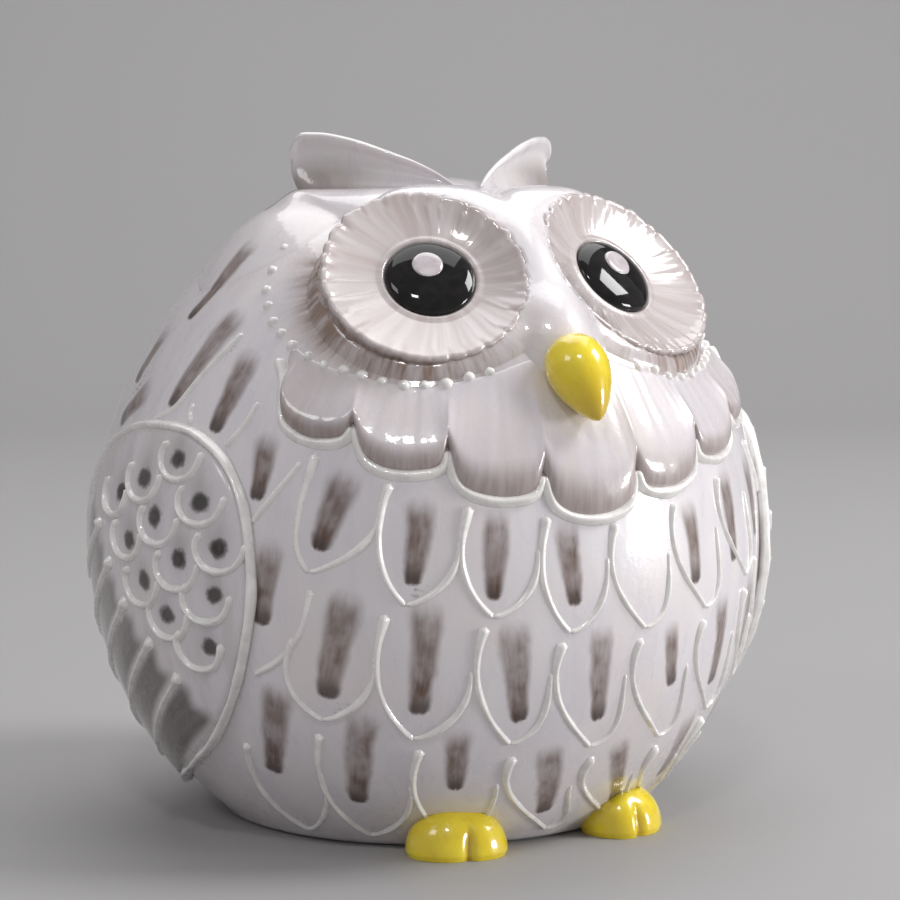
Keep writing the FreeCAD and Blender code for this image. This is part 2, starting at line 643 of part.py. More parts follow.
def make_wing(trim):
    """Raised panel cut from a skin round the body, its border, its scales and its quill lines."""
    rise = size("wing_rise")
    skin = oval("wing_skin", -rise, " + sizes.wing_rise")
    body = new_body("wing_prism")
    sketch = new_sketch(body, "wing_outline", "YZ_Plane")
    curve = Part.BSplineCurve()
    curve.interpolate(Points=[Vector(depth, height, 0) for depth, height in WING_OUTLINE], PeriodicFlag=True)
    constrain(sketch, "Block", sketch.addGeometry(curve))
    pad = body.newObject("PartDesign::Pad", "wing_pad")
    pad.Profile = sketch
    pad.Reversed = True
    bind(pad, "Length", "sizes.body_radius + 10")
    sketch.Visibility = False
    body.Placement = LEAN
    panel = boolean("Cut", "wing_trimmed", boolean("Common", "wing_layer", skin, body), trim)
    node(panel, "wing_right")
    node(mirror("wing_mirrored", panel), "wing_left")

    centre = Vector(-3.0, 38.0, 0)
    offset = 0.5 * size("wing_line")
    marks = []
    for depth, height in WING_OUTLINE + WING_OUTLINE[:1]:
        outward = Vector(depth, height, 0) - centre
        outward.normalize()
        spot = Vector(depth, height, 0) + outward * offset
        marks.append((wing_angle(spot.x, spot.y), spot.y))
    border = solid_of("wing_border", bead(smooth_path(marks, 64), size("wing_line"), rise + 0.7))
    node(border, "wing_border_line_right")
    node(mirror("wing_border_mirrored", border), "wing_border_line_left")

    scales = []
    for angle, height, count in WING_SCALES:
        for step in range(count):
            a = angle - 9.1 * step
            b = height - 2.9 * step
            marks = [(a - 4.3, b + 5.6), (a - 4.5, b + 3.4), (a - 2.9, b + 0.8), (a, b), (a + 2.9, b + 0.8),
                     (a + 4.5, b + 3.2)]
            scales.append(trail(marks, size("trail"), 12, rise))
    scales = solid_of("wing_scales", Part.makeCompound(scales))
    node(scales, "wing_scale_lines_right")
    node(mirror("wing_scales_mirrored", scales), "wing_scale_lines_left")

    ball = size("quill_ball") / (0.5 * size("trail"))
    quills = []
    for start, end in QUILLS:
        marks = []
        for part in (0.0, 0.35, 0.7, 1.0):
            depth = start[0] + (end[0] - start[0]) * part
            height = start[1] + (end[1] - start[1]) * part - 1.6 * part * (1 - part)
            marks.append((wing_angle(depth, height), height))
        swell = lambda part: 1.0 + (ball - 1.0) * math.exp(-(part / 0.055) ** 2)
        quills.append(trail(marks, size("trail"), 22, rise, swell))
    quills = solid_of("quills", Part.makeCompound(quills))
    node(quills, "wing_quill_lines_right")
    node(mirror("quills_mirrored", quills), "wing_quill_lines_left")


# ---------------------------------------------------------------- ear tufts and forehead

# Station of a tuft: sideways and front-to-back position of its rim, rim height, share of depth.
TUFT_STATIONS = [(-2.4, -16.2, 110.6, 0.22), (-4.6, -14.6, 112.6, 0.42), (-7.6, -12.4, 114.6, 0.6),
                 (-12.4, -8.8, 117.0, 0.8), (-17.6, -5.0, 119.2, 0.95), (-22.2, -1.6, 120.2, 1.0),
                 (-24.8, 0.3, 119.9, 0.9), (-25.6, 0.9, 118.6, 0.7)]


def crown_height(x, y):
    """Height of the body's top above a point of the table."""
    back = y - math.tan(math.radians(size("lean_angle"))) * 60.0
    share = (x * x + back * back) / size("body_radius") ** 2
    return size("belly_height") + size("crown_rise") * math.sqrt(1.0 - share)


def make_tuft(trim):
    """A cupped, swept-back tuft: thick rim along the top, hollow face, thin lip on the head."""
    front = Vector(-0.593, -0.805, 0)
    share = size("tuft_height") / 13.4
    sections = []
    for x, y, rim, depth in TUFT_STATIONS:
        foot = crown_height(x, y)
        tall = (rim - foot) * share
        wide = depth * size("tuft_depth")
        profile = [(0.40, -3.2), (0.34, 0.07 * tall), (0.10, 0.22 * tall), (0.0, 0.5 * tall),
                   (0.07, 0.8 * tall), (0.10, 0.95 * tall), (0.0, tall), (-0.10, 0.93 * tall),
                   (-0.20, 0.62 * tall), (-0.36, 0.28 * tall), (-0.52, -3.2)]
        points = [Vector(x, y, foot) + front * (across * wide) + Vector(0, 0, up) for across, up in profile]
        curve = Part.BSplineCurve()
        curve.interpolate(Points=points, PeriodicFlag=True)
        sections.append(Part.Wire([curve.toShape()]))
    form = solid_of("tuft_form", Part.makeLoft(sections, True, False))
    tuft = boolean("Cut", "tuft_trimmed", form, trim)
    node(tuft, "ear_tuft_right")
    left = mirror("tuft_mirrored", tuft)
    node(left, "ear_tuft_left")
    return [tuft, left]


def make_forehead(trim, blockers):
    """Ridge from between the tufts down between the eye discs to the mound."""
    stations = [(111.0, 7.0), (109.4, 7.6), (107.0, 7.0), (104.0, 6.2), (100.6, 5.2), (97.0, 4.4),
                (93.8, 4.2), (91.4, 4.6)]
    widths = [width for height, width in stations]
    path = [(0.0, height) for height, width in stations]

    def swell(part):
        place = part * (len(widths) - 1)
        low = min(int(place), len(widths) - 2)
        return widths[low] + (widths[low + 1] - widths[low]) * (place - low)

    form = solid_of("forehead_form", bead(path, 1.0, 0.5, -0.1, swell))
    cutters = join("forehead_cutters", [trim] + blockers)
    node(boolean("Cut", "forehead_trimmed", form, cutters), "forehead_ridge")


def find(label):
    return [feature for feature in NODES if feature.Label == label][0]


def build():
    trim = make_body()
    make_eye_disc(trim)
    discs = [find("eye_disc_right"), find("eye_disc_left")]
    make_pupil()
    make_beak(trim, discs)
    tufts = make_tuft(trim)
    brows = make_brows(trim, discs + tufts)
    make_forehead(trim, discs + tufts + brows + [find("beak_mound")])
    make_ruff(trim, discs + [find("beak"), find("beak_mound")])
    make_ruff_line()
    make_dots(trim)
    make_feathers()
    make_wing(trim)
    make_feet(trim)
    doc.recompute()


def write_parts():
    bad = [item.Label for item in doc.Objects if "Invalid" in item.State or "Error" in item.State]
    if bad:
        raise RuntimeError("objects that failed to build: %s" % ", ".join(bad))
    os.makedirs("parts", exist_ok=True)
    for feature in NODES:
        shape = feature.Shape
        if shape.isNull() or not shape.isValid() or shape.Volume <= 0:
            raise RuntimeError("bad shape in %s" % feature.Label)
        shape.exportStep(os.path.join("parts", feature.Label + ".step"))
        print("%-30s solids %3d volume %10.2f" % (feature.Label, len(shape.Solids), shape.Volume))


build()
write_parts()
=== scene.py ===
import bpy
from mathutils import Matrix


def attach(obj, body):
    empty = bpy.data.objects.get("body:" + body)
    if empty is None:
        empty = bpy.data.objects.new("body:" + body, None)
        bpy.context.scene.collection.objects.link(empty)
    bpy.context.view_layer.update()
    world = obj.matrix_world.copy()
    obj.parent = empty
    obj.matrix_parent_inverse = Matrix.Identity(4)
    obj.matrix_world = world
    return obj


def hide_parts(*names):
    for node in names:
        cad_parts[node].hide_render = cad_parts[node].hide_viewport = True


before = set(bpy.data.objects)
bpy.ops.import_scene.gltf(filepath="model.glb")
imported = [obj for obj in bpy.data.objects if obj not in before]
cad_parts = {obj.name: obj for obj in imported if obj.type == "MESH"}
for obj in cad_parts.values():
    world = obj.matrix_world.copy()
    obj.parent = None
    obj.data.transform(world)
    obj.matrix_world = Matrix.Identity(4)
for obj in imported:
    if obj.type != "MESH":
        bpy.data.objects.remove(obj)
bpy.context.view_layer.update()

import math

import bmesh
import bpy
import numpy as np
from mathutils import Matrix, Vector

# Glazed ceramic owl. Lengths in this script are millimetres until a mesh is written; +Z is up and
# the owl faces -Y. A place on the cast body is (angle, height): degrees from the front, plus
# towards the owl's left (+X), and the height along the body's own axis before it leans back.

MM = 0.001
PAINT = 8        # paint columns of a vertex: wash (painted shade on the ear tufts and in the toes' groove), streak x3, stroke x3, mark
OUT_OF_SIGHT = 999.0
RADIUS, BELLY, CROWN, DROP = 59.6, 48.2, 64.6, 61.3
LEAN = math.radians(4.0)
WALL, BASE_WALL, RECESS_RADIUS, RECESS_DEPTH, VENT_RADIUS = 4.0, 4.5, 27.0, 1.2, 3.5
rng = np.random.default_rng(23)


# ---------------------------------------------------------------- the body's surface

def lean(p, angle=LEAN):
    """Points tipped back about the body's widest level."""
    y, z = p[..., 1], p[..., 2] - BELLY
    c, s = math.cos(angle), math.sin(angle)
    return np.stack([p[..., 0], c * y + s * z, BELLY - s * y + c * z], -1)


def unlean(p):
    return lean(p, -LEAN)


def oval_radius(height):
    rise = np.asarray(height, float) - BELLY
    half = np.where(rise > 0, CROWN, DROP)
    return RADIUS * np.sqrt(np.clip(1 - (rise / half) ** 2, 0, None))


def skin(angle, height, lift=0.0):
    """Points on the leaning body, lifted along its normal."""
    turn = np.radians(np.asarray(angle, float))
    height = np.asarray(height, float)
    rise = height - BELLY
    half = np.where(rise > 0, CROWN, DROP)
    radius = oval_radius(height)
    out, up = radius / RADIUS ** 2, rise / half ** 2
    size = np.hypot(out, up)
    r = radius + lift * out / size
    z = height + lift * up / size
    r, z, turn = np.broadcast_arrays(r, z, turn)
    return lean(np.stack([r * np.sin(turn), -r * np.cos(turn), z], -1))


def skin_normal(angle, height):
    return skin(angle, height, 1.0) - skin(angle, height, 0.0)


def mirror(points, side):
    """Points made for the owl's right, moved to the left when the side is the left."""
    return points * np.array([-side, 1.0, 1.0])


def turns(count):
    return np.arange(count) * 2 * np.pi / count


def ease(x):
    x = np.clip(x, 0, 1)
    return x * x * (3 - 2 * x)


def smooth(marks, count, closed=False):
    """Points on a smooth curve through the marks."""
    p = np.asarray(marks, float)
    if closed:
        p = np.vstack([p[-2:], p, p[:3]])
    gap = np.maximum(np.linalg.norm(np.diff(p, axis=0), axis=1), 1e-6)
    t = np.concatenate([[0], np.cumsum(gap)])
    slope = np.gradient(p, t, axis=0)
    low, high = (t[2], t[-3]) if closed else (t[0], t[-1])
    at = np.linspace(low, high, count)
    k = np.clip(np.searchsorted(t, at, side="right") - 1, 0, len(t) - 2)
    width = (t[k + 1] - t[k])[:, None]
    s = (at - t[k])[:, None] / width
    a, b, m, n = p[k], p[k + 1], slope[k] * width, slope[k + 1] * width
    return (2 * s ** 3 - 3 * s ** 2 + 1) * a + (s ** 3 - 2 * s ** 2 + s) * m + \
        (3 * s ** 2 - 2 * s ** 3) * b + (s ** 3 - s ** 2) * n


def ripple(x, waves, seed):
    """Smooth irregular wave of x (one period = 1), made of the given whole-number waves."""
    local = np.random.default_rng(seed)
    total = np.zeros_like(np.asarray(x, float))
    for wave in waves:
        total += local.uniform(0.5, 1.0) * np.sin(2 * np.pi * (wave * x + local.uniform()))
    return total / math.sqrt(len(waves))


# ---------------------------------------------------------------- mesh helpers

def grid_quads(rows, cols, wrap=False, start=0):
    i = np.arange(rows - 1)[:, None]
    j = np.arange(cols if wrap else cols - 1)[None, :]
    k = (j + 1) % cols
    a, b, c, d = i * cols + j, i * cols + k, (i + 1) * cols + k, (i + 1) * cols + j
    return start + np.stack(np.broadcast_arrays(a, b, c, d), -1).reshape(-1, 4)


class Build:
    """Collects vertices and faces of one piece."""

    def __init__(self):
        self.points, self.quads, self.tris, self.paint = [], [], [], []
        self.count = 0

    def add(self, points, paint=None):
        points = np.asarray(points, float).reshape(-1, 3)
        start = self.count
        self.points.append(points)
        self.count += len(points)
        self.paint.append(np.zeros((len(points), PAINT)) if paint is None else paint.reshape(-1, PAINT))
        return start

    def grid(self, points, wrap=False, paint=None):
        rows, cols = points.shape[:2]
        start = self.add(points, paint)
        self.quads.append(grid_quads(rows, cols, wrap, start))
        return start

    def fan(self, start, count, centre, paint=None):
        """Triangles from a ring of vertices to one point."""
        tip = self.add([centre], paint)
        ring = start + np.arange(count)
        self.tris.append(np.stack([ring, np.roll(ring, -1), np.full(count, tip)], -1))

    def band(self, a, b):
        """Quads between two rings of vertex numbers."""
        self.quads.append(np.stack([a, np.roll(a, -1), np.roll(b, -1), b], -1))

    def tube(self, points, paint=None):
        """Closed skin round rings of points, one ring per row."""
        rows, cols = points.shape[:2]
        start = self.grid(points, True, paint)
        for row in (0, rows - 1):
            tone = None if paint is None else paint[row].mean(0)
            self.fan(start + row * cols, cols, points[row].mean(0), tone)

    def slab(self, top, bottom, paint=None):
        """Closed patch between two grids of the same size."""
        rows, cols = top.shape[:2]
        a = self.grid(top, False, paint)
        b = self.grid(bottom, False, paint)
        index = np.arange(rows * cols).reshape(rows, cols)
        rim = np.concatenate([index[0, :-1], index[:-1, -1], index[-1, :0:-1], index[:0:-1, 0]])
        self.band(a + rim, b + rim)


def make_slip(node, build):
    make_piece(node + "_slip", build, glaze_slip, [node])


def wash_paint(points, wash, streak=0.0):
    """Paint with only a wash, and the streaks that it follows; on the ear tufts and in the toes' groove the
    wash is painted shade.
    """
    paint = np.zeros(points.shape[:2] + (PAINT,))
    paint[..., 0], paint[..., 1:4] = wash, streak
    return paint


def make_piece(name, build, material, nodes=()):
    points = np.vstack(build.points) * MM
    quads = np.vstack(build.quads) if build.quads else np.zeros((0, 4), int)
    tris = np.vstack(build.tris) if build.tris else np.zeros((0, 3), int)
    mesh = bpy.data.meshes.new(name)
    mesh.vertices.add(len(points))
    mesh.vertices.foreach_set("co", points.ravel())
    loops = np.concatenate([quads.ravel(), tris.ravel()])
    mesh.loops.add(len(loops))
    mesh.loops.foreach_set("vertex_index", loops)
    starts = np.concatenate([np.arange(len(quads)) * 4, len(quads) * 4 + np.arange(len(tris)) * 3])
    mesh.polygons.add(len(starts))
    mesh.polygons.foreach_set("loop_start", starts)
    mesh.polygons.foreach_set("use_smooth", np.ones(len(starts), bool))
    paint = np.vstack(build.paint)
    for label, kind, field, columns in (("wash", "FLOAT", "value", [0]),
                                        ("streak", "FLOAT_VECTOR", "vector", [1, 2, 3]),
                                        ("stroke", "FLOAT_VECTOR", "vector", [4, 5, 6]),
                                        ("mark", "FLOAT", "value", [7])):
        layer = mesh.attributes.new(label, kind, "POINT")
        layer.data.foreach_set(field, paint[:, columns].ravel())
    mesh.update(calc_edges=True)
    mesh.validate()
    work = bmesh.new()
    work.from_mesh(mesh)
    bmesh.ops.recalc_face_normals(work, faces=work.faces)
    work.to_mesh(mesh)
    work.free()
    obj = bpy.data.objects.new(name, mesh)
    bpy.context.scene.collection.objects.link(obj)
    mesh.materials.append(material)
    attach(obj, "root")
    if nodes:
        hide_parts(*nodes)
    return obj


# ---------------------------------------------------------------- materials

class Nodes:
    def __init__(self, name):
        self.material = bpy.data.materials.new(name)
        self.material.use_nodes = True
        self.tree = self.material.node_tree
        self.shader = self.tree.nodes["Principled BSDF"]

    def new(self, kind, **settings):
        node = self.tree.nodes.new(kind)
        for key, value in settings.items():
            setattr(node, key, value)
        return node

    def link(self, source, target):
        self.tree.links.new(source, target)

    def put(self, socket, value):
        if hasattr(value, "is_output"):
            self.link(value, socket)
        else:
            socket.default_value = value

    def math(self, kind, a, b=0.0, clamp=False):
        node = self.new("ShaderNodeMath", operation=kind, use_clamp=clamp)
        self.put(node.inputs[0], a)
        self.put(node.inputs[1], b)
        return node.outputs[0]

    def times(self, a, b, clamp=False):
        return self.math("MULTIPLY", a, b, clamp)

    def plus(self, a, b):
        return self.math("ADD", a, b)

    def span(self, value, low, high, out_low=0.0, out_high=1.0):
        node = self.new("ShaderNodeMapRange", interpolation_type="SMOOTHSTEP")
        for socket, item in zip(node.inputs, (value, low, high, out_low, out_high)):
            self.put(socket, item)
        return node.outputs[0]

    def attribute(self, name):
        return self.new("ShaderNodeAttribute", attribute_name=name)

    def parts(self, vector):
        node = self.new("ShaderNodeSeparateXYZ")
        self.link(vector, node.inputs[0])
        return node.outputs

    def vector(self, x, y, z):
        node = self.new("ShaderNodeCombineXYZ")
        for socket, item in zip(node.inputs, (x, y, z)):
            self.put(socket, item)
        return node.outputs[0]

    def place(self, *scale):
        """Object coordinates in millimetres, stretched by one scale or by three."""
        node = self.new("ShaderNodeMapping")
        self.link(self.new("ShaderNodeTexCoord").outputs["Object"], node.inputs["Vector"])
        node.inputs["Scale"].default_value = [item / MM for item in (scale * 3)[:3]]
        return node.outputs[0]

    def noise(self, vector, scale, detail=3.0, rough=0.55):
        node = self.new("ShaderNodeTexNoise")
        self.link(vector, node.inputs["Vector"])
        node.inputs["Scale"].default_value = scale
        node.inputs["Detail"].default_value = detail
        node.inputs["Roughness"].default_value = rough
        return node.outputs["Fac"]

    def mix(self, factor, a, b):
        node = self.new("ShaderNodeMix", data_type="RGBA")
        self.put(node.inputs[0], factor)
        self.put(node.inputs[6], a if hasattr(a, "is_output") else (*a, 1.0))
        self.put(node.inputs[7], b if hasattr(b, "is_output") else (*b, 1.0))
        return node.outputs[2]

    def finish(self, colour, roughness=0.3, coat=1.0, coat_rough=0.025, bump=None, strength=0.2, depth=0.1):
        shader = self.shader.inputs
        self.put(shader["Base Color"], colour)
        self.put(shader["Roughness"], roughness)
        shader["Coat Weight"].default_value = coat
        shader["Coat Roughness"].default_value = coat_rough
        shader["Coat IOR"].default_value = 1.52
        shader["IOR"].default_value = 1.5
        if bump is not None:
            node = self.new("ShaderNodeBump")
            node.inputs["Strength"].default_value = strength
            node.inputs["Distance"].default_value = depth * MM
            self.link(bump, node.inputs["Height"])
            self.link(node.outputs[0], shader["Normal"])
            self.link(node.outputs[0], shader["Coat Normal"])
        return self.material


WHITE = (0.76, 0.72, 0.735)
WHITE_COOL = (0.71, 0.67, 0.705)
WHITE_WARM = (0.77, 0.70, 0.685)
WASH = (0.25, 0.165, 0.125)
MARK = (0.105, 0.048, 0.025)
INK = (0.026, 0.012, 0.007)
IVORY = (0.90, 0.88, 0.855)


def white_glaze(name, base=WHITE, wash=WASH, mark=MARK, ink=INK, solid=0.3, grain=0.22, full=True):
    """Milky glaze over brushwork: a wash with streaks, and single brush marks with dark ends. On the ear
    tufts the wash is painted shade.
    """
    n = Nodes(name)
    tone = n.noise(n.place(0.22, 0.22, 0.035), 1.0, 4.0)
    cloud = n.noise(n.place(0.05, 0.05, 0.04), 1.0, 2.0)
    colour = n.mix(n.span(tone, 0.35, 0.68), WHITE_COOL, base)
    colour = n.mix(n.times(n.span(cloud, 0.45, 0.7), 0.6), colour, WHITE_WARM)
    streak = n.attribute("streak").outputs["Vector"]
    amount = n.attribute("wash").outputs["Fac"]
    fine = n.noise(streak, 1.15, 3.0, 0.6)
    broad = n.noise(streak, 0.33, 2.0, 0.5)
    hair = n.plus(n.span(fine, 0.3, 0.72, 0.0, 0.6 * (1 - solid)),
                  n.span(broad, 0.3, 0.7, solid, 0.45 + 0.55 * solid))
    colour = n.mix(n.times(amount, hair, True), colour, wash)
    if full:
        across, low, high = n.parts(n.attribute("stroke").outputs["Vector"])
        shown = n.attribute("mark").outputs["Fac"]
        wander = n.parts(n.place(0.11))[2]
        bristle = n.noise(n.vector(n.times(across, 2.6), n.times(low, 0.16), wander), 1.0, 3.0)
        shake = n.math("SUBTRACT", bristle, 0.5)
        patch = n.noise(n.place(grain), 1.0, 2.0)
        edge = n.plus(n.math("ABSOLUTE", across), n.times(n.math("SUBTRACT", patch, 0.5), 0.8))
        body = n.span(edge, 0.55, 1.3, 1.0, 0.0)
        foot = n.span(n.plus(low, shake), -0.4, 0.5)
        head = n.span(n.plus(high, n.times(shake, 1.2)), -0.8, 4.2)
        shape = n.times(n.times(body, foot), n.times(head, shown))
        deeper = n.span(low, 2.0, 13.0, 0.12, -0.06)
        thick = n.plus(n.plus(n.span(bristle, 0.3, 0.7, 0.66, 0.80), deeper),
                       n.span(patch, 0.35, 0.65, -0.12, 0.12))
        deep_tone = n.times(n.span(n.plus(low, n.times(patch, 3.0)), 2.0, 5.4, 1.0, 0.0), shape)
        colour = n.mix(n.times(shape, thick, True), colour, mark)
        colour = n.mix(n.times(deep_tone, 0.78), colour, ink)
    speck = n.noise(n.place(0.9), 1.0, 2.0)
    rough = n.span(tone, 0.3, 0.7, 0.24, 0.36)
    return n.finish(colour, rough, bump=n.plus(speck, n.noise(n.place(0.12, 0.12, 0.1), 1.0, 2.0)),
                    strength=0.25, depth=0.12)


def slip_glaze(name):
    n = Nodes(name)
    tone = n.noise(n.place(0.35), 1.0, 3.0)
    colour = n.mix(n.span(tone, 0.3, 0.7), (0.80, 0.775, 0.75), IVORY)
    rough = n.span(tone, 0.3, 0.7, 0.22, 0.34)
    return n.finish(colour, rough, bump=n.noise(n.place(0.9), 1.0), strength=0.3, depth=0.1)


def disc_glaze(name):
    """Pinkish grey glaze brushed outwards from the pupil, stained in the rim's notches and down the wall."""
    n = Nodes(name)
    streak = n.attribute("streak").outputs["Vector"]
    wash = n.attribute("wash").outputs["Fac"]
    fine = n.noise(streak, 1.25, 3.0, 0.6)
    broad = n.noise(streak, 0.3, 2.0, 0.5)
    colour = n.mix(n.span(broad, 0.36, 0.64), (0.50, 0.43, 0.42), (0.60, 0.54, 0.54))
    colour = n.mix(n.span(fine, 0.45, 0.75, 0.0, 0.34), colour, (0.42, 0.35, 0.33))
    colour = n.mix(n.times(wash, n.span(fine, 0.3, 0.65, 0.55, 1.0), True), colour, (0.20, 0.115, 0.075))
    rough = n.span(fine, 0.3, 0.7, 0.2, 0.32)
    return n.finish(colour, rough, bump=fine, strength=0.25, depth=0.10)


def black_glaze(name):
    n = Nodes(name)
    tone = n.noise(n.place(0.5), 1.0, 2.0)
    colour = n.mix(n.span(tone, 0.3, 0.7), (0.004, 0.004, 0.004), (0.011, 0.009, 0.009))
    rough = n.span(tone, 0.3, 0.7, 0.05, 0.09)
    n.shader.inputs["Specular IOR Level"].default_value = 0.15
    return n.finish(colour, rough, coat=0.45, bump=tone, strength=0.1, depth=0.05)


def glint_glaze(name):
    n = Nodes(name)
    tone = n.noise(n.place(0.45), 1.0, 3.0)
    colour = n.mix(n.span(tone, 0.3, 0.7), (0.50, 0.44, 0.46), (0.62, 0.57, 0.59))
    return n.finish(colour, n.span(tone, 0.3, 0.7, 0.15, 0.25), bump=tone, strength=0.15, depth=0.05)


def yellow_glaze(name):
    """Yellow enamel, brighter on the crowns and deeper orange where the wash is set: painted shade in the
    toes' groove, and a deeper tone on the beak's outer face towards its tip.
    """
    n = Nodes(name)
    tone = n.noise(n.place(0.16), 1.0, 3.0)
    fine = n.noise(n.place(0.7, 0.7, 0.4), 1.0, 3.0)
    deep_tone = n.attribute("wash").outputs["Fac"]
    colour = n.mix(n.span(tone, 0.35, 0.65), (0.80, 0.60, 0.010), (0.88, 0.70, 0.020))
    colour = n.mix(n.span(fine, 0.5, 0.8, 0.0, 0.35), colour, (0.70, 0.47, 0.008))
    # deeper orange from the wash: painted shade in the toes' groove
    colour = n.mix(deep_tone, colour, (0.42, 0.22, 0.01))
    return n.finish(colour, n.span(fine, 0.3, 0.7, 0.2, 0.32), bump=fine, strength=0.2, depth=0.08)


glaze_white = white_glaze("white_glaze")
glaze_ruff = white_glaze("ruff_glaze", base=(0.69, 0.63, 0.63), wash=(0.17, 0.095, 0.065),
                         solid=0.62, full=False)
# The tuft glaze's wash colour is painted shade in the scoops.
glaze_tuft = white_glaze("tuft_glaze", base=(0.74, 0.71, 0.69), wash=(0.20, 0.155, 0.135),
                         solid=0.8, full=False)
glaze_wing = white_glaze("wing_glaze", base=(0.60, 0.56, 0.56), wash=(0.042, 0.018, 0.009),
                         mark=(0.026, 0.011, 0.005), ink=(0.012, 0.006, 0.004), solid=0.86, grain=0.75)
glaze_slip = slip_glaze("slip_line")
glaze_disc = disc_glaze("disc_glaze")
glaze_black = black_glaze("black_glaze")
glaze_glint = glint_glaze("glint_glaze")
glaze_yellow = yellow_glaze("yellow_glaze")


# ---------------------------------------------------------------- eye discs: shared frame

DISC_SIDE, DISC_FRONT, DISC_HIGH, DISC_TURN, DISC_PITCH = 19.2, 37.5, 95.9, 18.0, 38.0
DISC_RADIUS = 17.2
RAY_ORIGIN = np.array([0.0, 21.5, 47.4])    # where the two disc axes meet inside the body


def disc_frame(side):
    turn, pitch = math.radians(DISC_TURN) * side, math.radians(DISC_PITCH)
    normal = np.array([math.sin(turn) * math.cos(pitch), -math.cos(turn) * math.cos(pitch), math.sin(pitch)])
    level = np.array([math.cos(turn), math.sin(turn), 0.0])
    centre = np.array([side * DISC_SIDE, -DISC_FRONT, DISC_HIGH])
    return centre, level, np.cross(normal, level), normal


def disc_polar(p, side):
    """Where the ray through a point meets the disc's plane: radius, angle, and its share of the way."""
    centre, level, up, normal = disc_frame(side)
    way = p - RAY_ORIGIN
    t = ((centre - RAY_ORIGIN) @ normal) / np.maximum(way @ normal, 1e-3)
    hit = RAY_ORIGIN + way * t[..., None]
    u, v = (hit - centre) @ level, (hit - centre) @ up
    facing = way @ normal > 0.2 * np.linalg.norm(way, axis=-1)
    radius = np.where(facing, np.hypot(u, v), OUT_OF_SIGHT)
    return radius, np.arctan2(v, -side * u), t      # angle 0 points at the beak, 90 degrees up


def under_discs(p):
    """Keeps points that lie below an eye disc clear of its hollow face."""
    for side in (-1, 1):
        centre, _, _, normal = disc_frame(side)
        radius = disc_polar(p, side)[0]
        depth = (p - centre) @ normal
        way = (p - RAY_ORIGIN) / np.linalg.norm(p - RAY_ORIGIN, axis=-1, keepdims=True)
        push = np.clip(depth + 4.2, 0, None) * ease((DISC_RADIUS - 0.3 - radius) / 1.2)
        p = p - way * (push / np.maximum(way @ normal, 0.2))[..., None]
    return p


# ---------------------------------------------------------------- brushwork on the body

# Brush marks: (angle, height) of the upper end and of the lower end, half width.
STROKES = [(-27.4, 57.4, -29.4, 43.7, 2.0), (-16.0, 54.9, -17.0, 40.8, 1.9), (-5.1, 52.8, -3.8, 39.1, 1.8),
           (-38.5, 62.0, -43.7, 49.6, 2.3), (-52.9, 68.4, -54.2, 57.7, 1.9), (-51.3, 51.3, -54.4, 37.7, 2.0),
           (-39.3, 43.2, -44.9, 25.7, 2.5), (-27.1, 41.3, -29.6, 22.7, 2.2), (-14.2, 37.4, -12.1, 20.5, 2.1),
           (1.2, 35.5, 3.3, 19.5, 1.8), (15.9, 34.7, 19.3, 23.8, 1.5), (-53.2, 27.8, -60.7, 12.2, 2.3),
           (-38.7, 23.3, -44.1, 7.0, 2.2), (-22.6, 19.7, -23.2, 9.0, 1.9), (-5.4, 15.9, -1.4, 3.2, 2.1),
           (10.2, 15.3, 21.1, 3.1, 1.7), (19.1, 54.6, 21.2, 40.7, 1.7), (31.4, 58.9, 33.5, 43.5, 1.9),
           (29.8, 37.9, 34.0, 22.4, 1.8), (31.0, 17.5, 36.0, 6.0, 1.9), (44.0, 61.0, 46.0, 47.0, 2.0),
           (43.5, 41.0, 46.5, 26.0, 2.1), (47.0, 20.5, 50.5, 8.0, 2.0), (54.0, 51.5, 55.5, 38.0, 1.9),
           (53.5, 67.5, 55.0, 57.0, 1.9), (-75.0, 99.5, -83.6, 87.9, 1.8), (-65.9, 88.7, -76.4, 73.0, 2.3),
           (-59.1, 81.8, -63.9, 68.7, 2.2), (-91.3, 87.0, -96.1, 77.6, 2.0), (-86.0, 76.6, -97.0, 71.0, 2.0),
           (-78.0, 108.2, -88.0, 104.4, 1.5), (75.0, 99.5, 83.6, 87.9, 1.8), (65.9, 88.7, 76.4, 73.0, 2.2),
           (59.1, 81.8, 63.9, 68.7, 2.1), (91.3, 87.0, 96.1, 77.6, 2.0), (86.0, 76.6, 97.0, 71.0, 2.0),
           (78.0, 108.2, 88.0, 104.4, 1.5)]
BACK_ROWS = [(66.0, 46.0, 128.0, 13.0, 8), (44.0, 24.5, 121.0, 14.8, 8), (22.5, 5.0, 113.0, 16.75, 8)]
for top, tip, first, pitch, count in BACK_ROWS:
    for index in range(count):
        middle = first + pitch * (index + 0.5)
        STROKES.append((middle, top - 4.5, middle + rng.uniform(-1, 1), tip + 5.5, rng.uniform(1.8, 2.3)))
for angle in (112.0, 132.0, 152.0, 172.0, 192.0, 212.0, 232.0, 248.0):
    STROKES.append((angle, 93.0 + rng.uniform(-2, 2), angle + 3 * (1 if angle < 180 else -1), 79.0, 2.0))
BARE = np.zeros(PAINT)
BRUSHED = []
for a0, h0, a1, h1, half in STROKES:
    start, stop = skin(a0, h0), skin(a1, h1)
    normal = skin_normal(0.5 * (a0 + a1), 0.5 * (h0 + h1))
    axis = stop - start
    length = np.linalg.norm(axis)
    axis = axis / length
    BRUSHED.append((start, axis, np.cross(axis, normal), normal, length, half, rng.uniform(-0.35, 0.35)))


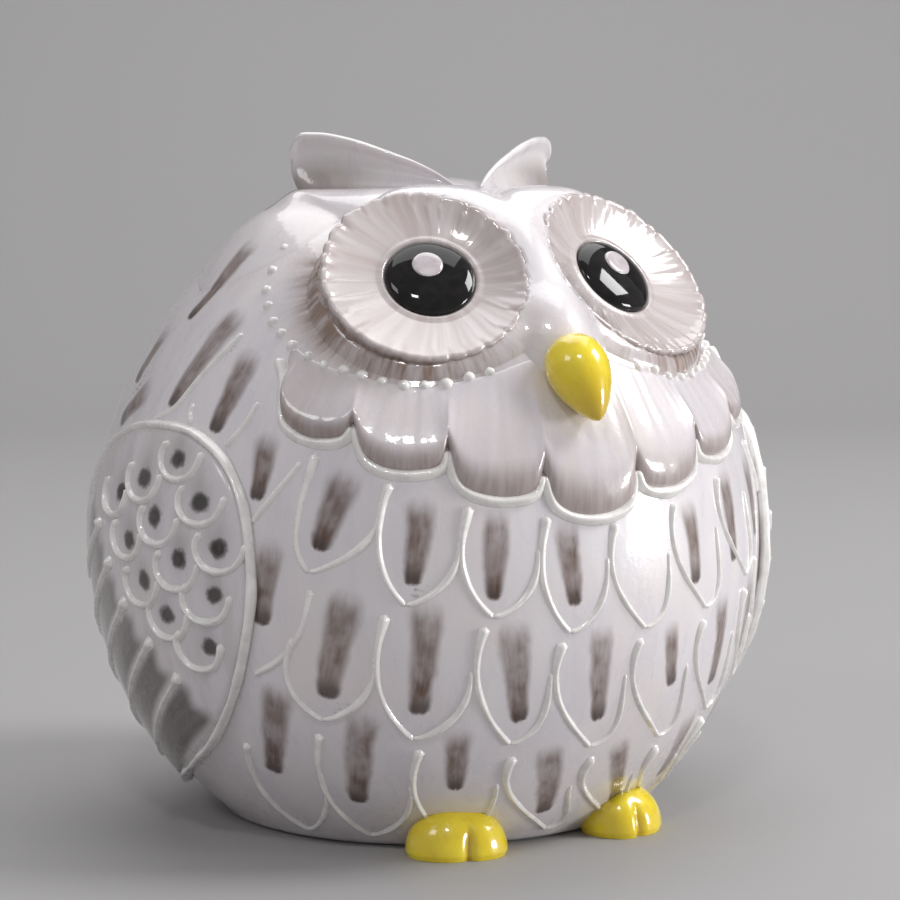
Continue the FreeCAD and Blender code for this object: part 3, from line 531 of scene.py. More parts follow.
def brush_marks(p):
    """The nearest mark at each point: place across it, distances from its two ends, and its cover."""
    marks = np.zeros(p.shape[:-1] + (4,))
    best = np.full(p.shape[:-1], 1e9)
    for start, axis, across, normal, length, half, bend in BRUSHED:
        away = p - start
        along = away @ axis
        share = np.clip(along / length, 0, 1)
        side = away @ across + bend * 4 * share * (1 - share)
        ends = np.sqrt(np.clip(1 - (1 - np.clip((along + 0.7) / (1.5 * half), 0, 1)) ** 2, 0, 1))
        ends = ends * np.sqrt(np.clip(1 - (1 - np.clip((length - along + 0.5) / half, 0, 1)) ** 2, 0, 1))
        wide = half * (1.32 - 0.62 * share) * (0.25 + 0.75 * ends)
        v = side / wide
        beyond = np.maximum(np.maximum(-along, along - length), 0)
        gap = np.hypot(np.maximum(np.abs(v) - 1, 0) * wide, beyond) + 40 * (np.abs(away @ normal) > 7)
        cover = ease((1.9 - np.abs(v)) / 0.5) * ease((along + 1.3) / 0.9) * ease((length + 1.0 - along) / 0.8)
        cover = cover * (np.abs(away @ normal) < 7)
        near = gap < best
        best = np.where(near, gap, best)
        marks = np.where(near[..., None], np.stack([v, length - along, along, cover], -1), marks)
    return marks


def mask_wash(p):
    """Streaky wash between each eye disc and its chain of dots: amount and streak coordinates."""
    amount = np.zeros(p.shape[:-1])
    streak = np.zeros(p.shape)
    for side in (-1, 1):
        radius, angle, _ = disc_polar(p, side)
        away = radius - DISC_RADIUS
        low = np.clip(-np.sin(angle), 0, 1)
        outer = np.clip(-np.cos(angle), 0, 1)
        inner = np.clip(np.cos(angle), 0, 1)
        weight = np.clip(0.35 + 0.5 * low + 1.0 * outer - 0.5 * inner, 0, 1)
        weight = weight * np.where(angle > 0, ease((angle - 2.2) / 0.5), 1.0)
        share = weight * (1.0 - ease((away - 2.5) / 9.0)) * (away > -3) * (away < 12)
        share = 1.3 * share * (0.5 + 0.5 * (1 - ease((away - 0.5) / 7)))
        better = share > amount
        amount = np.where(better, share, amount)
        way = np.stack([np.cos(angle) * 19, np.sin(angle) * 19, away * 0.12 + 50 * side], -1)
        streak = np.where(better[..., None], way, streak)
    return amount, streak


def paint_skin(p):
    amount, streak = mask_wash(p)
    return np.concatenate([amount[..., None], streak, brush_marks(p)], -1)


# ---------------------------------------------------------------- cast body

def make_body():
    cols, rows = 432, 200
    angle = np.arange(cols) * 360.0 / cols
    low_z = 1.7
    low, high = np.full(cols, -math.pi / 2), np.zeros(cols)
    for _ in range(40):                     # where each meridian comes down to the foot's rounding
        mid = 0.5 * (low + high)
        above = skin(angle, BELLY + DROP * np.sin(mid))[:, 2] > low_z
        high, low = np.where(above, mid, high), np.where(above, low, mid)
    share = np.linspace(0, 1, rows)[1:, None]
    tilt = math.pi / 2 + (high[None, :] - math.pi / 2) * share
    height = BELLY + np.where(tilt > 0, CROWN, DROP) * np.sin(tilt)
    outer = under_discs(skin(angle[None, :], height))
    b = Build()
    edge = outer[-1]
    way = edge[:, :2] / np.linalg.norm(edge[:, :2], axis=1, keepdims=True)
    reach = np.linalg.norm(edge[:, :2], axis=1)
    under = []
    for inward, z in ((0.55, 1.05), (1.15, 0.55), (1.9, 0.2), (2.8, 0.03), (3.8, 0.0)):
        under.append(np.column_stack([way * (reach - inward)[:, None], np.full(cols, z)]))
    turned = np.column_stack([np.sin(np.radians(angle)), -np.cos(np.radians(angle))])
    for radius, z in ((RECESS_RADIUS + 1.0, 0.0), (RECESS_RADIUS + 0.3, 0.12), (RECESS_RADIUS - 0.2, 0.6),
                      (RECESS_RADIUS - 0.9, RECESS_DEPTH), (15.0, RECESS_DEPTH),
                      (VENT_RADIUS + 0.5, RECESS_DEPTH),
                      (VENT_RADIUS, RECESS_DEPTH + 0.4), (VENT_RADIUS, BASE_WALL - 0.3),
                      (VENT_RADIUS + 0.4, BASE_WALL)):
        under.append(np.column_stack([turned * radius, np.full(cols, z)]))
    inside = []
    for radius in (18.0, 30.0):
        inside.append(np.column_stack([turned * radius, np.full(cols, BASE_WALL)]))
    for tilt in np.linspace(-0.74, math.pi / 2 - 0.06, 11):
        tall = BELLY + (CROWN if tilt > 0 else DROP) * math.sin(tilt)
        inside.append(skin(angle, np.full(cols, tall), -WALL))
    everything = np.concatenate([outer, np.array(under), np.array(inside)], 0)
    paint = np.zeros(everything.shape[:2] + (PAINT,))
    paint[:len(outer)] = paint_skin(outer)
    start = b.grid(everything, True, paint)
    b.fan(start, cols, skin(0.0, BELLY + CROWN), BARE)
    last = start + (len(everything) - 1) * cols
    b.fan(last, cols, skin(0.0, BELLY + CROWN, -WALL), BARE)
    make_piece("body_shell_skin", b, glaze_white, ["body_shell"])


# ---------------------------------------------------------------- brows, bridge and beak mound

def blend_lifts(lifts, power):
    """Smooth union of raised forms; where only one is raised it keeps its own height."""
    return sum(np.clip(lift, 0, None) ** power for lift in lifts) ** (1 / power)


def head_form(p):
    """Lift along each ray of the raised form round the discs, behind the beak and below the tufts."""
    reach = np.linalg.norm(p - RAY_ORIGIN, axis=-1)
    lifts = []
    for side in (-1, 1):
        radius, angle, t = disc_polar(p, side)
        gap = np.clip((t - 1) * reach, 0, 14)
        top = ease((np.sin(angle) - 0.05) / 0.95) * ease((2.35 - angle) / 0.95)
        low = np.clip(-np.sin(angle), 0, 1)
        inner = np.clip(np.cos(angle), 0, 1)
        wide = 4.0 + 8.5 * top + 5.0 * inner * (1 - low)
        start = np.clip(0.36 + 0.60 * np.maximum(top, inner * (1 - 0.6 * low)) ** 0.6, 0, 0.95)
        fall = np.clip((radius - DISC_RADIUS) / wide, 0, 1)
        share = np.where(radius == OUT_OF_SIGHT, 0.0, start * (1 - fall ** 2.0) ** 2)
        lifts.append(gap * share)
    here = unlean(p)
    side = here[..., 0] / 8.4
    tall = (here[..., 2] - 83.6) / 10.0
    lifts.append(3.7 * np.clip(1 - side ** 2 - tall ** 2, 0, 1) ** 1.3 * (here[..., 1] < 0))
    for side in (-1, 1):                    # the shelf that each tuft grows out of
        start, stop = np.array([side * 4.0, -15.0]), np.array([side * 24.0, 0.2])
        way = stop - start
        length = np.linalg.norm(way)
        along = ((p[..., :2] - start) @ way) / length
        ahead = np.array([side * way[1], -side * way[0]]) / length
        front = (p[..., :2] - start) @ ahead
        past = np.maximum(np.maximum(-along, along - length), 0)
        outer = ease((along / length - 0.35) / 0.65)
        gap = np.hypot(front / np.where(front > 0, 15.0 - 5.0 * outer, 8.0), past / 8.0)
        bump = np.clip(1 - gap ** 2.2, 0, 1) ** 2
        lifts.append(np.clip(110.4 - p[..., 2], 0, 5.5 - 2.2 * outer) * 1.1 * bump * (p[..., 2] > 85))
        corner = np.linalg.norm(p - [side * 29.0, 1.0, 101.5], axis=-1) / 19.0
        lifts.append(3.0 * np.clip(1 - corner ** 2, 0, 1) ** 2)
    total = blend_lifts(lifts, 3.5)
    limit = np.clip(111.2 - p[..., 2], 0.05, None) * 1.15      # the brows stay level with the tufts' feet
    return total / (1 + (total / limit) ** 6) ** (1 / 6)


def make_head():
    count_u, count_v = 236, 196
    axis = np.array([0.0, -0.62, 0.785])
    right = np.array([1.0, 0.0, 0.0])
    up = np.cross(right, axis)
    u, v = np.meshgrid(np.linspace(-0.90, 0.90, count_u), np.linspace(-0.66, 0.70, count_v))
    way = axis + u[..., None] * right + v[..., None] * up
    way /= np.linalg.norm(way, axis=-1, keepdims=True)
    c, s = math.cos(LEAN), math.sin(LEAN)
    local = np.stack([way[..., 0], c * way[..., 1] - s * way[..., 2], s * way[..., 1] + c * way[..., 2]], -1)
    origin = unlean(RAY_ORIGIN) - np.array([0, 0, BELLY])
    half = np.array([RADIUS, RADIUS, CROWN])
    a = ((local / half) ** 2).sum(-1)
    b = 2 * ((local / half) * (origin / half)).sum(-1)
    reach = (-b + np.sqrt(b * b - 4 * a * (((origin / half) ** 2).sum() - 1))) / (2 * a)
    bare = RAY_ORIGIN + way * reach[..., None]
    lift = head_form(bare)
    edge = np.minimum(np.minimum(u + 0.90, 0.90 - u), np.minimum(v + 0.66, 0.70 - v))
    lift = lift - 0.3 * (1 - ease(lift / 0.35)) - 0.5 * (edge < 0.004)
    top = bare + way * lift[..., None]
    for side in (-1, 1):
        centre, _, _, normal = disc_frame(side)
        radius = disc_polar(top, side)[0]
        depth = (top - centre) @ normal
        push = np.clip(depth + 5.0, 0, None) * (radius < DISC_RADIUS - 0.75)
        top = top - way * (push / np.maximum(way @ normal, 0.2))[..., None]
    bottom = bare - way * 7.5
    b = Build()
    b.slab(top, bottom, paint_skin(bare))
    make_piece("brow_and_bridge_form", b, glaze_white,
               ["brow_pad_right", "brow_pad_left", "forehead_ridge", "beak_mound"])


# ---------------------------------------------------------------- eyes

def make_disc(side, label):
    cols = 360
    theta = turns(cols)
    turn = theta / (2 * np.pi)
    local = np.random.default_rng(40 + side)
    flute = ripple(turn, [19, 27, 34, 43, 52], 5 + side)
    notch = np.zeros(cols)
    places = np.cumsum(local.uniform(0.6, 1.5, 28))
    places = places / places[-1]
    for place in places:
        gap = (turn - place + 0.5) % 1.0 - 0.5
        notch += local.uniform(0.5, 1.0) * np.exp(-(gap * 360 / local.uniform(1.1, 2.1)) ** 2)
    scallop = ripple(turn, [9, 14, 21, 30], 71 + side)
    outer = DISC_RADIUS + 0.12 * scallop - 0.3 * notch
    centre, level, up, normal = disc_frame(side)
    shift = np.array([-side * 1.15, 0.65])
    # Radius and depth of the rings from under the pupil to where the dish starts.
    rings = [(6.2, -3.1), (7.3, -2.75), (7.62, -2.38), (7.95, -2.12), (8.35, -2.16), (8.9, -2.34)]
    points, wash, streak = [], [], []

    def ring(radius, depth, blend, stain, tall):
        x = shift[0] * (1 - blend) + radius * np.cos(theta)
        y = shift[1] * (1 - blend) + radius * np.sin(theta)
        spot = centre + x[:, None] * level + y[:, None] * up + (depth * np.ones(cols))[:, None] * normal
        points.append(spot)
        wash.append(stain * np.ones(cols))
        streak.append(np.column_stack([np.cos(theta) * 15, np.sin(theta) * 15, np.full(cols, tall)]))

    for radius, depth in rings:
        ring(radius, depth, 0.0, 0.0, radius * 0.05)
    steps = 30
    for step in range(1, steps + 1):
        s = step / steps
        radius = 8.9 + (outer - 0.85 - 8.9) * s
        depth = -2.34 + 2.3 * (0.75 * s + 0.25 * s ** 2.5)
        amp = ease((s - 0.1) / 0.9)
        depth = depth + 0.035 * amp * flute - 0.24 * notch * ease((s - 0.72) / 0.28) + 0.06 * amp * scallop
        stain = 0.10 * ease((s - 0.7) / 0.3) * (0.5 + 0.5 * np.tanh(flute))
        stain = stain + 0.3 * notch * ease((s - 0.75) / 0.25)
        ring(radius, depth, ease(s), stain, radius * 0.05)
    rim = 0.04 + 0.05 * flute - 0.24 * notch + 0.06 * scallop
    low = np.clip(-np.sin(theta) * 0.8 + side * np.cos(theta) * 0.75 + 0.1, 0, 1)
    # Inset, drop and stain of the rings over the rim and down the wall.
    wall = [(0.45, -0.02, 0.10), (0.12, -0.16, 0.12), (0.0, -0.42, 0.18), (0.02, -0.8, 0.4),
            (0.12, -1.3, 0.75), (0.2, -1.9, 0.9), (0.2, -2.6, 0.85), (0.1, -3.4, 0.7), (0.0, -4.4, 0.5),
            (0.0, -6.0, 0.3), (0.3, -13.0, 0.0)]
    for inset, drop, stain in wall:
        groove = 0.12 * flute * ease(-drop / 1.2)
        depth = drop + rim * (1 - ease(-drop / 3))
        ring(outer - inset + groove, depth, 1.0, stain * (0.25 + 0.75 * low), 0.86 - 0.05 * drop)
    points = np.array(points)
    b = Build()
    b.tube(points, wash_paint(points, np.array(wash), np.array(streak)))
    make_piece("eye_disc_%s_face" % label, b, glaze_disc, ["eye_disc_" + label])

    rows = 26
    theta = turns(160)
    seat = centre + (shift[0] * level + shift[1] * up) - normal * 2.45

    def dome(name, middle, radius, profile, material, node):
        b = Build()
        layers = []
        for r, z in profile:
            wobble = 1 + 0.008 * np.sin(2 * theta + 1.3) + 0.006 * np.sin(5 * theta + side)
            spot = middle + (radius * r * np.cos(theta) * wobble)[:, None] * level
            layers.append(spot + (radius * r * np.sin(theta) * wobble)[:, None] * up + z * normal)
        b.tube(np.array(layers))
        make_piece(name, b, material, [node])

    fall = np.linspace(0, math.pi / 2, rows)
    profile = [(math.sin(a), 2.05 * math.cos(a) ** 0.9 if a < math.pi / 2 - 1e-6 else 0.0) for a in fall[1:]]
    profile += [(0.985, -0.5), (0.6, -0.9)]
    dome("pupil_%s_dome" % label, seat, 7.45, profile, glaze_black, "pupil_" + label)
    spot = seat + 0.5 * side * level + 1.5 * up
    lift = 1.93
    profile = [(0.5, lift + 0.34), (0.8, lift + 0.30), (0.93, lift + 0.2), (0.99, lift + 0.05),
               (1.0, lift - 0.15), (0.98, lift - 0.7), (0.6, lift - 0.9)]
    dome("pupil_glint_%s_dot" % label, spot, 2.55, profile, glaze_glint,
         "pupil_glint_" + label)


# ---------------------------------------------------------------- beak

def make_beak():
    root, heading = np.array([-1.2, -54.3, 81.7]), np.array([0.8, -7.7, -13.6])
    heading = heading / np.linalg.norm(heading)
    side = np.cross(heading, np.array([0, -1.0, 0.5]))
    side /= np.linalg.norm(side)
    side = side if side[0] > 0 else -side
    front = np.cross(side, heading)
    length, wide = 15.8, 5.3
    marks = smooth([(0, 0), (0.36, 0.015), (0.68, 0.09), (0.92, 0.21), (1.0, 0.37), (0.91, 0.54),
                    (0.69, 0.72), (0.42, 0.87), (0.17, 0.965), (0.0, 1.0)], 54)[1:-1]
    cols = 96
    theta = turns(cols)
    layers, wash = [], []
    for r, along in marks:
        squash = 1 - 0.10 * np.sin(theta) ** 2
        ridge = 1 + 0.05 * np.exp(-((np.sin(theta) - 1) / 0.25) ** 2) * ease(along)
        x = wide * r * np.cos(theta) * squash
        y = wide * r * np.sin(theta) * ridge
        bend = 0.6 * along ** 2
        spot = root + heading * (along * length) + x[:, None] * side + (y - bend)[:, None] * front
        layers.append(spot)
        wash.append(0.5 * ease((along - 0.5) / 0.5) * ease(-np.sin(theta) * 0.7 + 0.4))
    b = Build()
    points = lean(np.array(layers))
    b.tube(points, wash_paint(points, np.array(wash)))
    make_piece("beak_drop", b, glaze_yellow, ["beak"])


# ---------------------------------------------------------------- ruff

RUFF_CUSPS = [(8.3, 60.0), (23.2, 64.6), (38.1, 68.8), (51.5, 77.0)]
RUFF_DIPS = [(0.0, 52.6), (14.9, 56.2), (28.0, 60.9), (44.0, 66.4)]
RUFF_TOP = [(0.0, 79.5), (8.0, 78.6), (15.2, 76.6), (26.4, 75.0), (38.7, 77.4), (47.3, 80.4), (51.2, 82.6)]


def ruff_lobe(index, side):
    """Marks round the bottom of one lobe, from its inner cusp to its outer cusp."""
    start = (-RUFF_CUSPS[0][0], RUFF_CUSPS[0][1]) if index == 0 else RUFF_CUSPS[index - 1]
    end, dip = RUFF_CUSPS[index], RUFF_DIPS[index]
    near = (0.75 * start[0] + 0.25 * dip[0] - 0.4, 0.3 * start[1] + 0.7 * dip[1])
    far = (0.75 * end[0] + 0.25 * dip[0] + 0.4, 0.3 * end[1] + 0.7 * dip[1])
    return [(side * a, h) for a, h in (start, near, dip, far, end)]


def make_ruff():
    per = 44
    order = [(3, -1), (2, -1), (1, -1), (0, 1), (1, 1), (2, 1), (3, 1)]
    border, bulge = [], []
    for index, side in order:
        marks = ruff_lobe(index, side)
        if side < 0:
            marks = marks[::-1]
        border.append(smooth(marks, per)[:-1] + np.array([0.0, 0.6]))
        bulge.append(np.linspace(0, 1, per)[:-1])
    border = np.vstack(border + [[(RUFF_CUSPS[-1][0], RUFF_CUSPS[-1][1] + 0.6)]])
    bulge = np.concatenate(bulge + [[1.0]])
    cols = len(border)
    top_marks = [(-a, h) for a, h in RUFF_TOP[:0:-1]] + RUFF_TOP
    top = smooth(top_marks, cols)
    rows = 54
    t = (np.linspace(0, 1, rows) ** 1.25)[:, None]
    angle = border[None, :, 0] * (1 - t) + top[None, :, 0] * t
    height = border[None, :, 1] * (1 - t) + top[None, :, 1] * t
    hump = np.sin(np.pi * bulge)[None, :]
    cusp = 1 - (1 - hump ** 0.8) * (1 - ease(t / 0.17))
    roll = np.sqrt(np.clip(1 - (1 - np.clip(t / 0.29, 0, 1)) ** 2, 0, 1))
    fade = 1 - 0.95 * ease((t - 0.10) / 0.90)
    wave = ripple(np.linspace(0, 1, cols)[None, :] + 0 * t, [19, 27, 38, 46, 61], 9)
    lift = 1.9 * roll * fade * (0.84 + 0.16 * cusp)
    lift = lift + 0.03 * wave * ease(t / 0.15) * ease((1 - t) / 0.1) - 0.5 * (t < 0.001)
    lift = lift - 0.35 * ease((t - 0.97) / 0.03)
    ends = np.minimum(np.arange(cols), np.arange(cols)[::-1])[None, :] / 10.0
    lift = lift * ease(ends + 0.02) - 0.4 * (ends < 0.05)
    points = skin(angle, height, lift)
    below = skin(angle, height, -1.6)
    low = ease((0.30 - t) / 0.24)
    edge = ease((0.5 - hump) / 0.5) * ease((0.26 - t) / 0.22) + 0 * t
    wash = 0.08 + 0.58 * np.maximum(low, 0.8 * edge) + 0.06 * ease((0.7 - t) / 0.5)
    wash = wash + 0.18 * ease((-angle - 36) / 10)          # the lobe beside the owl's right wing is darker all over
    wash = np.clip(wash, 0, 0.9) * ease((1 - t) / 0.12)
    along = np.cumsum(np.concatenate([[0], np.linalg.norm(np.diff(points[20], axis=0), axis=1)]))
    paint = np.zeros(points.shape[:2] + (PAINT,))
    paint[..., 0] = wash
    paint[..., 1] = along
    paint[..., 2] = t * 2.4
    b = Build()
    b.slab(points, below, paint)
    make_piece("ruff_lobes", b, glaze_ruff, ["ruff"])


# ---------------------------------------------------------------- slip-trailed lines

CROSS = np.linspace(-1, 1, 11)


def bead(build, marks, width, height, base=0.0, swell=None, spacing=0.5, seed=0, closed=False):
    """A rounded line of slip along (angle, height) marks; its flanks run out into the surface."""
    rough = smooth(marks, 60, closed)
    span = np.linalg.norm(np.diff(skin(rough[:, 0], rough[:, 1]), axis=0), axis=1).sum()
    count = max(10, int(span / spacing))
    path = smooth(marks, count, closed)
    local = np.random.default_rng(seed)
    s = np.linspace(0, 1, count)
    shake = sum(local.uniform(0.4, 1) * np.sin(2 * np.pi * (f * s * span / 30 + local.uniform()))
                for f in (1, 2.3, 4.1))
    size = np.ones(count) + 0.07 * shake
    if swell is not None:
        size = size * swell(s)
    lift = base(path[:, 0], path[:, 1]) if callable(base) else np.full(count, base)
    spot = skin(path[:, 0], path[:, 1], lift)
    normal = skin_normal(path[:, 0], path[:, 1])
    if callable(base):
        ahead = np.gradient(spot, axis=0)
    else:
        ahead = np.gradient(skin(path[:, 0], path[:, 1]), axis=0)
    ahead /= np.linalg.norm(ahead, axis=1, keepdims=True)
    across = np.cross(normal, ahead)
    across /= np.linalg.norm(across, axis=1, keepdims=True)
    along = s * span
    if not closed:
        cap = 0.55 * width
        for distance in (along, span - along):
            x = np.clip(distance / cap, 0, 1)
            size = size * np.sqrt(np.clip(1 - (1 - x) ** 2, 0.02, 1))
    half = 0.5 * width * 1.28 * size
    tall = height * size
    profile = np.cos(0.5 * np.pi * CROSS) ** 1.1
    top = spot[:, None] + across[:, None] * (half[:, None] * CROSS)[..., None]
    top = top + normal[:, None] * (tall[:, None] * profile - 0.06)[..., None]
    under = CROSS[-2:0:-2] * 0.9
    low = spot[:, None] + across[:, None] * (half[:, None] * under)[..., None] - normal[:, None] * 0.75
    ring = np.concatenate([top, low], 1)
    if closed:
        ring = ring[:-1]
        rows, cols = ring.shape[:2]
        start = build.grid(ring, True)
        a = start + (rows - 1) * cols + np.arange(cols)
        b = start + np.arange(cols)
        build.band(a, b)
    else:
        build.tube(ring)


def bezier(corners, count):
    t = np.linspace(0, 1, count)[:, None]
    a, b, c, d = [np.array(item, float) for item in corners]
    return (1 - t) ** 3 * a + 3 * (1 - t) ** 2 * t * b + 3 * (1 - t) * t * t * c + t ** 3 * d


def feather(build, top, tip, next_top, seed):
    """One feather: a thick start, down the near side to the tip, then up to the next feather's side."""
    local = np.random.default_rng(seed)
    span, drop = next_top[0] - top[0], top[1] - tip[1]
    end = (next_top[0] - 0.15 * span, next_top[1] - (0.29 + 0.10 * local.uniform()) * (next_top[1] - tip[1]))
    rise = end[1] - tip[1]
    low = float(oval_radius(0.5 * (top[1] + tip[1])) / oval_radius(tip[1]))
    near = bezier((top, (top[0] - 0.28 * span, top[1] - 0.5 * drop),
                   (tip[0] - 0.30 * span * low, tip[1] + 0.19 * drop), tip), 14)
    far = bezier((tip, (tip[0] + 0.42 * span * low, tip[1] + 0.14 * rise),
                  (end[0] + 0.02 * span, end[1] - 0.5 * rise), end), 14)
    jig = local.uniform(-0.25, 0.25, 2)
    start = [(top[0] + jig[0], top[1] + jig[1])]
    bead(build, np.vstack([start, near[1:]]), 1.0, 0.60, seed=seed,
         swell=lambda s: 1.0 + 0.5 * np.exp(-(s / 0.16) ** 2) - 0.14 * ease(s))
    bead(build, np.vstack([near[-2:-1] * 0.25 + far[:1] * 0.75, far[1:]]), 0.86, 0.50, seed=seed + 500,
         swell=lambda s: 0.85 + 0.35 * np.sin(np.pi * np.clip(s, 0, 1)) ** 2)


def base_height(angle, rise):
    return rise + 0.3 - math.tan(LEAN) * 36.0 * math.cos(math.radians(angle))


FEATHER_ROWS = {
    "breast_feather_lines_upper": (
        [(-44.0, 65.0), (-32.4, 60.0), (-20.2, 55.6), (-8.0, 53.4), (3.6, 51.6), (16.0, 54.2), (28.8, 58.0),
         (41.5, 62.5)],
        [(-45.3, 46.0), (-30.5, 40.4), (-17.1, 37.9), (-4.4, 34.6), (10.0, 34.2), (24.8, 36.2),
         (39.5, 40.5)]),
    "breast_feather_lines_middle": (
        [(-49.0, 35.6), (-33.6, 39.0), (-18.4, 36.4), (-5.3, 33.4), (9.4, 32.8), (24.6, 34.6), (39.6, 38.6),
         (50.0, 40.5)],
        [(-46.1, 21.8), (-30.6, 18.3), (-13.2, 16.6), (3.5, 14.8), (21.5, 14.6), (37.5, 17.5), (50.0, 21.5)]),
    "breast_feather_lines_lower": (
        [(-64.0, 17.5), (-47.5, 19.5), (-29.5, 16.4), (-12.0, 14.6), (5.2, 12.8), (23.2, 12.8), (39.0, 15.8),
         (57.0, 18.5)],
        [(angle, base_height(angle, 1.8)) for angle in (-62.0, -44.5, -24.0, 2.5, 24.0, 40.5, 56.0)]),
}
SIDE_LINES = [[(-63.2, 84.8), (-70.0, 78.2), (-75.6, 72.8), (-81.0, 71.2)],
              [(-55.6, 73.4), (-57.4, 70.0), (-61.0, 66.3)],
              [(-70.2, 73.6), (-70.4, 71.8), (-69.6, 70.2)],
              [(-46.4, 63.6), (-49.6, 60.0), (-55.0, 54.0)],
              [(-45.2, 43.4), (-48.0, 36.0), (-52.6, 31.6), (-57.4, 29.4)]]


def make_feathers():
    for number, (name, (tops, tips)) in enumerate(FEATHER_ROWS.items()):
        b = Build()
        for index, tip in enumerate(tips):
            feather(b, tops[index], tip, tops[index + 1], 100 * number + index)
        make_slip(name, b)
    b = Build()
    for row, (top, tip, first, pitch, count) in enumerate(BACK_ROWS):
        for index in range(count):
            angle = first + pitch * index
            feather(b, (angle, top), (angle + 0.5 * pitch, tip), (angle + pitch, top), 900 + 20 * row + index)
    make_slip("back_feather_lines", b)
    for side, label in ((1, "right"), (-1, "left")):
        b = Build()
        for index, marks in enumerate(SIDE_LINES):
            bead(b, [(side * a, h) for a, h in marks], 1.0, 0.5, seed=60 + index)
        make_slip("side_feather_lines_" + label, b)


def make_ruff_line():
    b = Build()
    for index, side in ((3, -1), (2, -1), (1, -1), (0, 1), (1, 1), (2, 1), (3, 1)):
        marks = ruff_lobe(index, side)
        if index == 3:
            marks = marks + [(side * 53.2, 80.2)]
        bead(b, marks, 1.6, 1.0, base=0.05, seed=30 + index + 7 * side,
             swell=lambda s: 1.0 + 0.22 * np.exp(-((s - 0.04) / 0.07) ** 2))
    make_slip("ruff_border_line", b)


DOT_PROFILE = [(0.3, 0.93), (0.58, 0.80), (0.82, 0.55), (0.97, 0.25), (1.12, 0.04), (1.3, -0.1), (0.9, -0.7)]


def make_dots():
    marks = [(15.2, 76.8), (26.4, 74.8), (38.7, 77.2), (47.3, 80.2), (54.7, 84.7), (60.8, 90.6), (64.0, 97.0),
             (63.3, 102.6)]
    theta = turns(20)
    for side, label in ((-1, "right"), (1, "left")):
        local = np.random.default_rng(300 + side)
        b = Build()
        for angle, height in smooth(marks, 18):
            angle = side * angle + local.uniform(-0.25, 0.25)
            height = height + local.uniform(-0.2, 0.2)
            radius = 0.86 * local.uniform(0.85, 1.12)
            spot, normal = skin(angle, height), skin_normal(angle, height)
            ahead = skin(angle + 0.5, height) - spot
            ahead /= np.linalg.norm(ahead)
            across = np.cross(normal, ahead)
            layers = []
            circle = np.cos(theta)[:, None] * ahead + np.sin(theta)[:, None] * across
            for r, z in DOT_PROFILE:
                ring = spot + radius * r * circle
                layers.append(ring + normal * (z * radius))
            b.tube(np.array(layers))
        make_slip("eye_dots_" + label, b)


# ---------------------------------------------------------------- wings

WING_RISE = 1.5
WING_OUTLINE = [(-14.0, 69.6), (-22.7, 67.9), (-29.3, 63.6), (-33.2, 57.5), (-34.8, 50.0), (-34.6, 42.8),
                (-32.0, 35.0), (-26.9, 26.8), (-18.8, 19.4), (-8.0, 14.0), (4.0, 10.2), (16.0, 8.0),
                (24.5, 12.0), (28.5, 22.0), (29.0, 34.0), (25.0, 48.0), (16.0, 59.5), (4.0, 66.8),
                (-6.0, 69.6)]
WING_SCALES = [(-69.3, 60.7, 3), (-64.3, 53.7, 3), (-60.5, 46.5, 3), (-63.5, 38.4, 2), (-66.5, 30.6, 1)]
QUILLS = [((-17.3, 29.2), (11.0, 12.6)), ((-12.6, 34.9), (20.0, 16.4)), ((-6.7, 41.2), (24.6, 23.4)),
          ((-2.0, 47.7), (25.2, 32.2)), ((3.4, 54.0), (22.6, 43.2))]
WING_CENTRE = np.array([-3.0, 38.0])


def wing_angle(depth, height):
    radius = oval_radius(height) + WING_RISE
    return -np.degrees(np.arccos(np.clip(-np.asarray(depth) / radius, -1, 1)))


def quill_marks(start, end):
    marks = []
    for part in (0.0, 0.35, 0.7, 1.0):
        depth = start[0] + (end[0] - start[0]) * part
        height = start[1] + (end[1] - start[1]) * part - 1.6 * part * (1 - part)
        marks.append((float(wing_angle(depth, height)), height))
    return marks


SPOTS = [(-69.6, 64.2), (-63.9, 57.3), (-60.2, 50.1), (-61.5, 42.7), (-63.9, 34.3), (-77.9, 61.2),
         (-74.2, 55.0),
         (-68.4, 48.3), (-72.5, 39.2), (-85.1, 58.9), (-81.4, 51.1), (-77.4, 44.7)]


